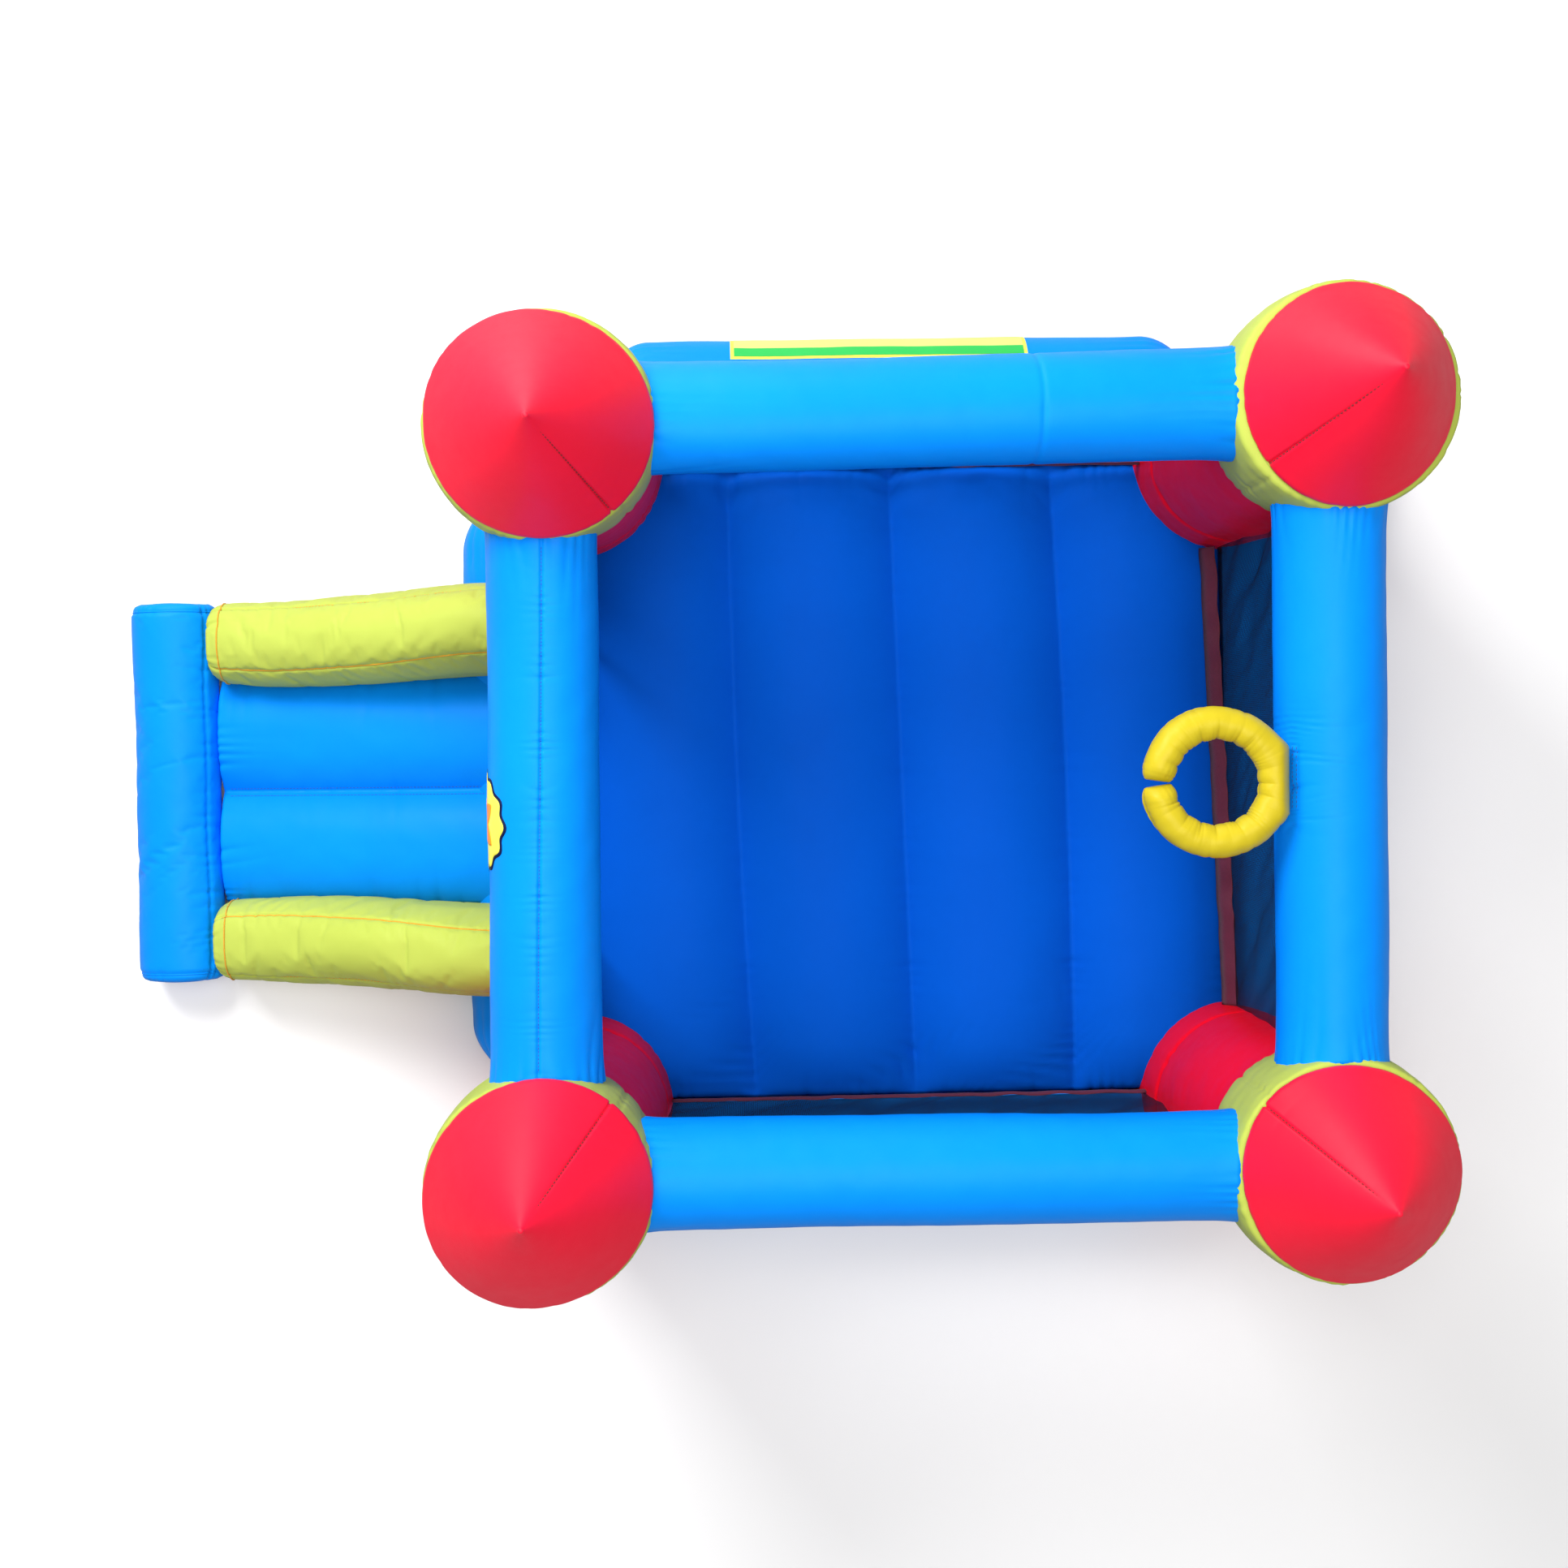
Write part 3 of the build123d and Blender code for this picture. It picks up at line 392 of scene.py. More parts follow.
# ------------------------------------------------------------------ materials
class Look:
    """A material in the making; an input of a node is a plain value or another node's output."""

    def __init__(self, name):
        self.material = bpy.data.materials.new(name)
        self.material.use_nodes = True
        self.tree = self.material.node_tree
        self.place = self.node("TexCoord", {})

    def feed(self, node, values):
        """Sets or links a node's inputs, by name or by number."""
        for key, value in values.items():
            if isinstance(value, bpy.types.NodeSocket):
                self.tree.links.new(value, node.inputs[key])
            else:
                node.inputs[key].default_value = value

    def node(self, kind, values, **settings):
        """Adds a node and returns its outputs."""
        node = self.tree.nodes.new("ShaderNode" + kind)
        for name, value in settings.items():
            setattr(node, name, value)
        self.feed(node, values)
        return node.outputs

    def noise(self, scale, detail=3.0, rough=0.5):
        values = {"Vector": self.place["Object"], "Scale": scale, "Detail": detail, "Roughness": rough}
        return self.node("TexNoise", values)["Fac"]

    def math(self, operation, *values):
        return self.node("Math", dict(enumerate(values)), operation=operation)[0]

    def mix(self, factor, first, second):
        """A blend of two colours."""
        return self.node("Mix", {0: factor, 6: (*first, 1), 7: (*second, 1)}, data_type="RGBA")[2]

    def surface(self, values, *bumps):
        """Sets the shader's inputs; bumps are layers of (height, distance in metres, strength)."""
        shader = self.tree.nodes["Principled BSDF"]
        for height, distance, strength in bumps:
            layer = {"Height": height, "Distance": distance, "Strength": strength}
            if "Normal" in values:
                layer["Normal"] = values["Normal"]
            values = {**values, "Normal": self.node("Bump", layer)["Normal"]}
        self.feed(shader, values)
        return self.material


def nylon(name, colour, shade, rough=0.42, gloss_level=0.12, crumple=1.0):
    """Coated nylon: plain weave, satin glow, soft crumples and slight unevenness of dye."""
    look = Look(name)
    tone = look.math("MULTIPLY_ADD", look.noise(3.0, 2), 0.8, -0.1)
    tone = look.math("MULTIPLY_ADD", look.noise(45.0, 4), 0.25, tone)
    weave = []
    for turn in (0, math.pi / 2):
        turned_uv = look.node("Mapping", {"Vector": look.place["UV"], "Rotation": (0, 0, turn)})[0]
        wave = look.node("TexWave", {"Vector": turned_uv, "Scale": 210, "Distortion": 0.4})
        weave.append(wave["Fac"])
    fine = look.noise(26.0, 5, 0.6)
    values = {
        "Base Color": look.mix(tone, shade, colour),
        "Roughness": look.math("MULTIPLY_ADD", fine, 0.16, rough - 0.08),
        "Sheen Weight": 0.03,
        "Sheen Roughness": 0.4,
        "Sheen Tint": (*colour, 1),
        "Specular IOR Level": gloss_level,
        "Specular Tint": [0.5 + 0.5 * c for c in colour] + [1],
    }
    return look.surface(
        values,
        (look.math("MAXIMUM", *weave), 0.00015, 0.35),
        (fine, 0.0010 * crumple, 0.30),
        (look.noise(7.0, 3), 0.003 * crumple, 0.2),
    )


def netting(name, colour, pitch, strand):
    """Open mesh: dark strands, nothing between; it closes up when seen at a slant."""
    look = Look(name)
    u, v, _ = look.node("SeparateXYZ", {0: look.place["UV"]})
    slanted = look.math("POWER", look.node("LayerWeight", {"Blend": 0.5})["Facing"], 2.0)
    width = look.math("MULTIPLY_ADD", slanted, 0.22, strand / pitch / 2)
    strands = []
    for way in ("ADD", "SUBTRACT"):
        cell = look.math("DIVIDE", look.math(way, u, v), pitch)
        strands.append(look.math("LESS_THAN", look.math("PINGPONG", cell, 0.5), width))
    tone = look.noise(60.0, 2)
    values = {
        "Alpha": look.math("MAXIMUM", *strands),
        "Base Color": look.mix(tone, [c * 0.6 for c in colour], colour),
        "Roughness": 0.7,
        "Specular IOR Level": 0.15,
    }
    return look.surface(values, (tone, 0.001, 0.4))


def woven(name, colour, shade, ribs=380):
    """Narrow woven tape or webbing with cross ribs."""
    look = Look(name)
    ribbed = {"Vector": look.place["Object"], "Scale": ribs, "Distortion": 1.0}
    wave = look.node("TexWave", ribbed, bands_direction="DIAGONAL")["Fac"]
    tone = look.noise(90.0, 3)
    values = {
        "Base Color": look.mix(look.math("MULTIPLY", tone, wave), shade, colour),
        "Roughness": 0.75,
        "Sheen Weight": 0.08,
    }
    return look.surface(values, (wave, 0.0006, 0.6), (tone, 0.001, 0.3))


def moulded(name, colour, rough=0.45, grain=600.0, metal=0.0):
    """Moulded plastic, rubber or plain metal: fine grain, slight wear in its gloss."""
    look = Look(name)
    worn = look.noise(14.0, 4)
    values = {
        "Base Color": look.mix(worn, [c * 0.75 for c in colour], colour),
        "Roughness": look.math("MULTIPLY_ADD", worn, 0.25, rough - 0.12),
        "Metallic": metal,
    }
    return look.surface(values, (look.noise(grain, 3), 0.0003, 0.35))


red = nylon("red_nylon", (0.90, 0.006, 0.036), (0.76, 0.003, 0.026), rough=0.48, gloss_level=0.55)
# Painted shade: the columns are the same red cloth as the caps, but they get this shaded copy of it. It
# is redder and less blue, to stand in for how they look in the shade and blue bounced light inside the
# house.
red_in_shade = nylon("red_nylon_shaded_copy", (0.96, 0.004, 0.016), (0.86, 0.002, 0.010))
lime = nylon("lime_nylon", (0.46, 0.545, 0.095), (0.39, 0.47, 0.07))
sky = nylon("sky_nylon", (0.001, 0.27, 0.92), (0.001, 0.22, 0.84))
royal = nylon("royal_nylon", (0.001, 0.105, 0.64), (0.001, 0.085, 0.54), rough=0.5, gloss_level=0.03)
yellow = nylon(
    "yellow_nylon", (0.55, 0.455, 0.018), (0.47, 0.36, 0.012), rough=0.36, gloss_level=0.25, crumple=2.0
)
net = netting("dark_netting", (0.003, 0.005, 0.012), pitch=0.007, strand=0.0016)
maroon = woven("maroon_hem", (0.20, 0.012, 0.05), (0.09, 0.006, 0.025))
webbing = woven("black_webbing", (0.03, 0.03, 0.035), (0.01, 0.01, 0.012))
thread_gold = woven("gold_thread", (0.92, 0.50, 0.02), (0.70, 0.32, 0.01), 900)
# Dark red stitches for the caps' side seams. The stitches are real, but their colour is much darker than
# the cloth so that they draw the seam as a dark line; that darkness is partly painted shade of the seam's
# crease.
seam_shade_stitch_red = woven("red_stitch_seam_shade", (0.30, 0.004, 0.015), (0.16, 0.002, 0.008), 900)
thread_navy = woven("navy_thread", (0.004, 0.14, 0.52), (0.002, 0.09, 0.40), 900)
navy_print = nylon("navy_print", (0.006, 0.012, 0.06), (0.004, 0.008, 0.04))
green_print = nylon("green_print", (0.04, 0.50, 0.10), (0.03, 0.42, 0.08))
cream_print = nylon("cream_print", (0.66, 0.74, 0.22), (0.58, 0.66, 0.16))
yellow_print = nylon("yellow_print", (0.86, 0.82, 0.12), (0.78, 0.72, 0.08))
orange_print = nylon("orange_print", (0.90, 0.34, 0.02), (0.80, 0.26, 0.01))
dark = moulded("dark_plastic", (0.025, 0.025, 0.028), 0.5)


# ------------------------------------------------------------------ towers
around = np.linspace(0, TAU, 200, endpoint=False)[None, :]


def turned(corner, angles, radii, heights):
    """Points round a tower's axis."""
    centre = tower[corner]
    return joined(centre.x + radii * np.cos(angles), centre.y + radii * np.sin(angles), heights)


def tower_piece(part, corner, radii, heights, relief, material, around=around):
    """A round chamber on a tower's axis, given its outline and the height of its cloth relief."""
    points = turned(corner, around, radii + relief * np.minimum(1, radii / column_r), heights)
    closed_piece(
        part + "_cloth_" + corner, points, material, leaning="tower", replaces=[part + "_" + corner]
    )


def from_angle(around, angle):
    """Signed turn from an angle, between minus and plus half a circle."""
    return (around - angle + math.pi) % TAU - math.pi


def make_column(corner, seed):
    """A tower's upright chamber, drawn in by a seam half way up and by the collar above."""
    foot = 0.035                     # rounding at the ground
    girdle = 0.46                    # height of the seam that goes round the column
    turn = np.linspace(0, math.pi / 2, 8)
    straight = np.linspace(foot, column_top - 0.004, 152)[1:-1]
    radii = np.concatenate([
        [column_r * 0.4, column_r * 0.8],
        column_r - foot + foot * np.sin(turn),
        np.full(len(straight), column_r),
        [column_r * 0.985, column_r * 0.96],
    ])[:, None]
    z = np.concatenate([
        [0.002, 0.001],
        foot - foot * np.cos(turn),
        straight,
        [column_top - 0.002, column_top + 0.01],
    ])[:, None]
    s = around * column_r
    relief = rumples(joined(s, z), seed + 20, (0.0020, 0.35), (0.0004, 0.09))
    relief += seam(z - girdle, 0.006, 0.010) + seam(z - column_top, 0.008, 0.014)
    relief += puckers(s, z - girdle, 0.05, 0.05, 0.006, seed)
    relief += puckers(s, z - column_top, 0.04, 0.06, 0.008, seed + 5)
    relief += puckers(s, z - floor_top, 0.06, 0.05, 0.005, seed + 9)
    relief += 0.004 * np.sin(math.pi * np.clip((z - girdle) / (column_top - girdle), 0, 1))
    # the column wears the shaded copy of the red cloth: painted shade, not a different fabric
    tower_piece("column", corner, radii, z, relief, red_in_shade)


def make_collar(corner, seed):
    """The band between a column and its cap, with two upright seams."""
    t = np.linspace(0, 1, 44)
    full = collar_r - 0.002 + 0.014 * np.sin(math.pi * t) ** 0.3
    radii = np.concatenate([[0.5 * collar_r], full, [0.6 * collar_r]])[:, None]
    z = column_top + 0.002 + t * (collar_top - column_top - 0.004)
    z = np.concatenate([[column_top + 0.004], z, [collar_top - 0.003]])[:, None]
    s = around * collar_r
    relief = rumples(joined(s, z), seed + 6, (0.0015, 0.25), (0.0004, 0.07))
    relief += puckers(s, z - column_top, 0.035, 0.045, 0.008, seed)
    relief += puckers(s, collar_top - z, 0.035, 0.04, 0.007, seed + 3)
    across, along = CORNERS[corner]
    for angle in (math.atan2(along, across), math.atan2(-along, -across)):
        off = np.abs(from_angle(around, angle)) * collar_r
        relief += seam(off, 0.004, 0.006) + puckers(z, off, 0.04, 0.03, 0.004, seed + 8)
    tower_piece("collar", corner, radii, z, relief, lime)


# how full each cap is blown, how far its rim is out of round and which way it is longest
CAP_RIM = {
    "front_left": (0.990, 0.0046, math.radians(50)),
    "front_right": (1.005, 0.0060, math.radians(139)),
    "rear_left": (0.948, 0.0057, math.radians(-7)),
    "rear_right": (0.966, 0.0014, math.radians(43)),
}


def cap_squeeze(around, corner):
    """How far a cap's rim lies outside the round rim of the CAD part."""
    full, oval, way = CAP_RIM[corner]
    return (full - 1) * cap_r + oval * np.cos(2 * (around - way)) + 0.0015 * np.cos(3 * around + way)


def make_cap(corner, seed):
    """A cone of cloth with a rolled rim; the seam down one side points to the house's middle."""
    rim = np.array([0.5, 0.80, 0.93, 0.98, 1.0, 0.996, 0.985]) * cap_r
    rim_z = collar_top + np.array([0.004, 0.002, 0.001, 0.003, 0.009, 0.015, 0.021])
    t = np.linspace(0, 1, 92)[1:]
    flank = rim[-1] * (1 - t) + 0.010 * np.sin(math.pi * t) + 0.0065 * t ** 8
    flank_z = rim_z[-1] + (tip_z - 0.004 - rim_z[-1]) * t
    r = np.concatenate([rim, flank, [0.0060, 0.0045, 0.0022]])[:, None]
    z = np.concatenate([rim_z, flank_z, tip_z + np.array([-0.002, -0.0008, -0.0001])])[:, None]
    across, along = CORNERS[corner]
    home = math.atan2(-along, -across) + 0.10 * across
    beside = np.array([0.006, 0.012, 0.02, 0.04])
    close = home + np.concatenate([-beside, [0], beside])
    angles = np.unique(np.concatenate([around[0], close % TAU]))[None, :]
    offset = from_angle(angles, home)
    away = np.hypot(cap_r - r, z - collar_top)
    flat = joined(r * np.cos(angles), r * np.sin(angles))
    relief = rumples(flat, seed + 4, (0.0016, 0.30), (0.0003, 0.10))
    relief += seam(offset * r, 0.006, 0.0035)
    relief += puckers(away, np.abs(offset * r), 0.05, 0.02, 0.0025, seed)
    relief += puckers(angles * cap_r, away, 0.055, 0.03, 0.003, seed + 2)
    relief *= smooth(r / 0.08) * smooth((z - collar_top) / 0.01)
    relief += cap_squeeze(angles, corner) * smooth(r / cap_r) - 0.002
    tower_piece("cap", corner, r, z, relief, red, angles)
    rim_r = cap_r - 0.008 + cap_squeeze(angles[0], corner)
    piping = turned(corner, angles[0], rim_r, collar_top + 0.001)
    cord("cap_piping_" + corner, piping, 0.0025, lime, closed=True, leaning="tower")
    share = np.linspace(0.03, 0.985, 60)[:56]
    line_r = rim[-1] * (1 - share) + 0.010 * np.sin(math.pi * share) - 0.0035
    line = turned(corner, home, line_r, rim_z[-1] + (tip_z - rim_z[-1]) * share)
    # dark stitches down the seam's crease: real stitches, their dark colour partly painted shade of the
    # crease
    stitch_row("cap_stitches_" + corner, line, seam_shade_stitch_red, radius=0.0014, leaning="tower")


for index, name in enumerate(CORNERS):
    make_column(name, 100 + 40 * index)
    make_collar(name, 300 + 40 * index)
    make_cap(name, 500 + 40 * index)


# ------------------------------------------------------------------ top tubes
TUBES = {
    "front": ("x", -tower_y, tower_x),
    "rear": ("x", tower_y, tower_x),
    "left": ("y", -tower_x, tower_y),
    "right": ("y", tower_x, tower_y),
}
TOP_SEAM = 0.03                      # where the front tube's seam lies, from straight up
LOW_SEAM = -2.3                      # the other tubes' seam, below on the outside
HOOP_SEAM = 1.05                     # where the hoop's cloth gathers the rear tube
hoop_low, hoop_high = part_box("hoop_ring")
hoop_x = (hoop_low.x + hoop_high.x) / 2


def collar_face(angle, half):
    """Where a tube's cloth meets the round collar, from the middle of the tube."""
    return half - np.sqrt(collar_r ** 2 - (tube_r * np.sin(angle)) ** 2)


def tube_relief(side, s, angle, half):
    """Cloth relief of a top tube; angle 0 is the top, growing towards the inside of the house."""
    away = collar_face(angle, half) - np.abs(s)
    seed = 11 + list(TUBES).index(side)
    girth = angle * tube_r
    # swollen where the collar grips it, narrower where it runs on inside the collar
    relief = 0.006 * np.exp(-np.maximum(away, 0) / 0.035) - 0.5 * np.maximum(-away, 0)
    relief += puckers(girth + np.sign(s) * 3.0, np.maximum(away, 0), 0.034, 0.07, 0.008, seed)
    relief += rumples(joined(s, girth), seed + 30, (0.0014, 0.60), (0.0003, 0.10))
    if side == "front":
        off = np.abs(angle - TOP_SEAM) * tube_r
        relief += seam(off, 0.004, 0.004) + puckers(s, off, 0.026, 0.024, 0.005, seed + 3)
    else:
        off = np.abs(angle - LOW_SEAM) * tube_r
        relief += seam(off, 0.004, 0.004) + puckers(s, off, 0.035, 0.025, 0.004, seed + 3)
    if side == "left":
        off = np.abs(s - 0.22)
        relief += seam(off, 0.0025, 0.006) + puckers(girth, off, 0.05, 0.03, 0.003, seed + 6)
    if side == "rear":
        near = np.exp(-(((s - hoop_x) / 0.14) ** 4))
        off = np.abs(angle - HOOP_SEAM) * tube_r
        relief += near * puckers(s, off, 0.016, 0.060, 0.0080, seed + 7)
    return relief


def on_tube(side, s, angle, extra=0.0):
    """Points on the finished cloth of a tube, raised by extra."""
    axis, line, half = TUBES[side]
    inward = -math.copysign(1, line)

    def surface(s, angle):
        across = line + inward * tube_r * np.sin(angle)
        up = tube_z + tube_r * np.cos(angle)
        return joined(s, across, up) if axis == "x" else joined(across, s, up)

    # the normal of (along, angle) points out or in depending on the tube's side
    sign = -1 if (axis == "x") == (inward < 0) else 1
    return lift(surface, s, angle, sign * (tube_relief(side, s, angle, half) + extra))


def make_tube(side):
    """A top tube, with its ends inside the collars."""
    rows, ring = 330, 132
    beside = np.array([0.0015, 0.003, 0.005, 0.0075]) / tube_r
    angle = np.linspace(-math.pi, math.pi, ring, endpoint=False)
    if side == "front":
        angle = np.unique(np.concatenate([angle, TOP_SEAM - beside, [TOP_SEAM], TOP_SEAM + beside]))
    angle = angle[None, :]
    inside_collar = 0.032
    s = np.linspace(-1, 1, rows)[:, None] * (collar_face(angle, TUBES[side][2]) + inside_collar)
    closed_piece("tube_cloth_" + side, on_tube(side, s, angle), sky, replaces=["tube_" + side])


for side in TUBES:
    make_tube(side)
line_end = tower_x - collar_r - 0.02
line = on_tube("front", np.linspace(-line_end, line_end, 260), TOP_SEAM, 0.0004)
stitch_row("tube_front_stitches", line, thread_navy, pitch=0.008, length=0.006, radius=0.0010)


# ------------------------------------------------------------------ jumping floor
lanes = 4
lane = 2 * tower_y / lanes
floor_skew = 0.026                   # the rear edge and the seams run askew: shift at a tower


def floor_height(x, y):
    """Top of the floor: four crowned lanes with puckered seams between them."""
    bow = 0.012 * np.cos(x / tower_x * math.pi / 2) * np.sign(y + 1e-9) * smooth(np.abs(y) / 0.2)
    bow = bow + floor_skew * x / tower_x * smooth((tower_y - np.abs(y)) / 0.4)
    t = (y - bow + tower_y) / lane % 1.0
    off = np.minimum(t, 1 - t) * lane
    from_side, from_end = tower_x - np.abs(x), tower_y - np.abs(y)
    edge = quarter(from_side / 0.16) * (0.45 + 0.55 * quarter(from_end / 0.10))
    depth = 0.066
    z = floor_top - depth + depth * (1 - np.abs(2 * t - 1) ** 2.3) * edge
    z += puckers(x, off, 0.05, 0.035, 0.004, 61)
    z += np.exp(-from_side / 0.16) * puckers(x + y * 0.5, off, 0.045, 0.10, 0.016, 62, slant=0.9)
    z += puckers(y, from_side, 0.055, 0.07, 0.010, 63)
    return z + rumples(joined(x, y), 64, (0.0018, 0.55), (0.0004, 0.14))


def make_floor():
    x = np.linspace(-tower_x, tower_x, 200)[:, None]
    y = np.linspace(-tower_y, tower_y, 260)[None, :]
    top = joined(x, y, floor_height(x, y))
    slab_piece("floor_cloth", top, 0.002, royal, replaces=["bounce_floor", "floor_baffles"])


make_floor()


# ------------------------------------------------------------------ air wall
WALLS = {
    "front": (-tower_y, wall_out_y, tower_x),
    "rear": (tower_y, wall_out_y, tower_x),
    "left": (-tower_x, wall_out_x, tower_y),
    "right": (tower_x, wall_out_x, tower_y),
}
belly_depth = 0.110                  # how far the wall's outer side stands out of its edges
belly_r = (wall_top ** 2 / 4 + belly_depth ** 2) / (2 * belly_depth)
belly_turn = math.asin(wall_top / 2 / belly_r)
wall_inner_z = 0.268
wall_corner = 0.20                   # how long before a column the wall starts to round off
WALL_GIRTH = 0.80                    # length of the section, from the floor's edge round to below
ROOF, BELLY = 0.40, 0.92             # shares of the section: roof, then belly, then underside


def wall_relief(side, s, t, half):
    """Cloth relief of a wall: gathered at its ends, at the floor and at the edge of its roof."""
    seed = 71 + list(WALLS).index(side)
    girth = t * WALL_GIRTH
    relief = rumples(joined(s, girth), seed, (0.0025, 0.5), (0.0004, 0.12))
    ends = np.maximum(half - column_r - 0.01 - np.abs(s), 0)
    relief += puckers(girth, ends, 0.045, 0.06, 0.007, seed + 2)
    relief += puckers(s, girth, 0.045, 0.04, 0.006, seed + 3)
    off = np.abs(girth - ROOF * WALL_GIRTH)
    relief += seam(off, 0.004, 0.005) + puckers(s, off, 0.04, 0.028, 0.005, seed + 4)
    if side == "rear":
        # the wall is pulled flat where the zip is sewn in
        middle = (zip_low.x + zip_high.x) / 2
        beside = (s - middle) / (0.62 * (zip_high.x - zip_low.x))
        at_zip = np.exp(-(beside ** 8) - ((t - (ROOF + BELLY) / 2) / 0.12) ** 4)
        relief = relief * (1 - at_zip) - 0.0030 * at_zip
    return relief * np.clip((1 - t) / 0.04, 0, 1)


def on_wall(side, s, t, extra=0.0):
    """Points on a wall's cloth; t runs from the floor's edge over the roof and the belly."""
    line, out_to, half = WALLS[side]
    width = out_to - abs(line)
    sign = math.copysign(1, line)

    def surface(s, t):
        share = quarter((half - 0.01 - np.abs(s)) / wall_corner)
        roof = np.clip(t / ROOF, 0, 1)
        phi = belly_turn * (1 - 2 * np.clip((t - ROOF) / (BELLY - ROOF), 0, 1))
        out = (width - belly_depth) * roof
        up = wall_inner_z + (wall_top - wall_inner_z) * np.sin(roof * math.pi / 2)
        out = np.where(t > ROOF, width - belly_r + belly_r * np.cos(phi), out)
        up = np.where(t > ROOF, wall_top / 2 + belly_r * np.sin(phi), up)
        out = np.where(t > BELLY, (width - belly_depth) * (1 - t) / (1 - BELLY), out)
        up = np.where(t > BELLY, 0.0, up) * (0.94 + 0.06 * share) + 0.002
        across = line + sign * out * share
        return joined(s, across, up) if side in ("front", "rear") else joined(across, s, up)

    # the normal of (along, t) points out or in depending on the wall's side
    outward = 1 if side in ("rear", "left") else -1
    return lift(surface, s, t, outward * (wall_relief(side, s, t, half) + extra))


for side, (_, _, half) in WALLS.items():
    s = np.sin(np.linspace(-1, 1, 200) * math.pi / 2)[:, None] * (half - 0.004)
    t = np.linspace(0, 1, 90)[None, :]
    grid_piece("wall_cloth_" + side, on_wall(side, s, t), sky, replaces=["wall_" + side])


# ------------------------------------------------------------------ nets and hems
def make_net(name, columns, seed):
    """A hanging net with slanting folds, slack between its two edges."""
    low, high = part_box(name)
    along_x = high.x - low.x > high.y - low.y
    start, stop = (low.x, high.x) if along_x else (low.y, high.y)
    line = middle_of(name).y if along_x else middle_of(name).x
    t = np.linspace(0, 1, 90)[:, None]
    a = np.linspace(start, stop, columns)[None, :]
    z = low.z - 0.012 + (high.z + 0.010 - low.z + 0.012) * t
    slack = np.sin(math.pi * t) ** 0.5
    folds = rumples(joined(a + 0.55 * z, z * 0.35), seed, (0.008, 0.20), (0.0022, 0.08))
    away = line + folds * slack - math.copysign(0.012, line) * slack
    if name == "net_rear":
        away = away + floor_skew * (a / tower_x) * (1 - t)
    points = joined(a, away, z) if along_x else joined(away, a, z)
    grid_piece(name + "_mesh", points, net, replaces=[name])


for index, name in enumerate(("net_left", "net_right", "net_rear", "net_front_left", "net_front_right")):
    make_net(name, 40 if "front" in name else 180, 80 + 3 * index)


def hem_strip(name, start, end, seed, slant=0.0, high=0.042, **rest):
    """A maroon tape along one edge of a net, rippled where the slack net gathers it."""
    u = np.linspace(0, 1, 160)
    start, end = np.array(start), np.array(end)
    length = np.linalg.norm(end - start)
    way = (end - start) / length
    side = np.array([-way[1], way[0], 0])
    inward = -np.sign(start @ side)
    ripple = 0.0035 * field((u * length)[:, None], 0.13, seed)
    lifted = 0.004 * field((u * length)[:, None], 0.15, seed + 1)
    rows = []
    for up, thick in ((0, 0.003), (0.5, 0.006), (1, 0.003), (1, 0), (0.5, 0), (0, 0)):
        out = thick + slant * (1 - up)
        row = start + u[:, None] * (end - start)
        row += side * (inward * out + ripple * (0.2 + 0.4 * up))[:, None]
        row[:, 2] += up * high + lifted
        rows.append(row)
    closed_piece(name, np.stack(rows, 1), maroon, **rest)


def make_door_hem(label, sign):
    """The upright hem at the doorway's side of a front net."""
    low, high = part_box("net_front_" + label)
    z = np.linspace(low.z, high.z, 60)
    y = (low.y + high.y) / 2 + 0.004 * field(z[:, None], 0.12, 97 + sign)
    x = high.x if sign < 0 else low.x
    corners = ((-0.014, 0.004), (0.014, 0.004), (0.014, -0.004), (-0.014, -0.004))
    ring = [joined(x + dx, y + dy, z) for dx, dy in corners]
    closed_piece("hem_door_" + label, np.stack(ring, 1), maroon)


hem_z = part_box("net_rear")[0].z - 0.006
hem_x, hem_y = tower_x - 0.008, tower_y - 0.008
hem_strip(
    "hem_rear",
    (-tower_x + column_r, hem_y - floor_skew, hem_z - 0.010),
    (tower_x - column_r, hem_y + floor_skew, hem_z - 0.010),
    91, slant=0.032, replaces=["net_hems"],
)
for label, sign in SIDES.items():
    start = (sign * hem_x, -tower_y + column_r, hem_z)
    hem_strip("hem_" + label, start, (sign * hem_x, tower_y - column_r, hem_z), 93 + sign)
    make_door_hem(label, sign)


# ------------------------------------------------------------------ slide
bed_low, bed_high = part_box("slide_bed")
bolster_low, bolster_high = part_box("slide_bolster_right")
foot_low, foot_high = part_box("slide_foot_tube")


def superbox(width, height, n, power):
    """Outline of a rounded box, n points, centred, anticlockwise seen down the sweep."""
    a = np.linspace(0, TAU, n, endpoint=False)
    c, s = np.cos(a), np.sin(a)
    x = np.sign(c) * np.abs(c) ** (2 / power) * width / 2
    z = np.sign(s) * np.abs(s) ** (2 / power) * height / 2
    return x, z, a


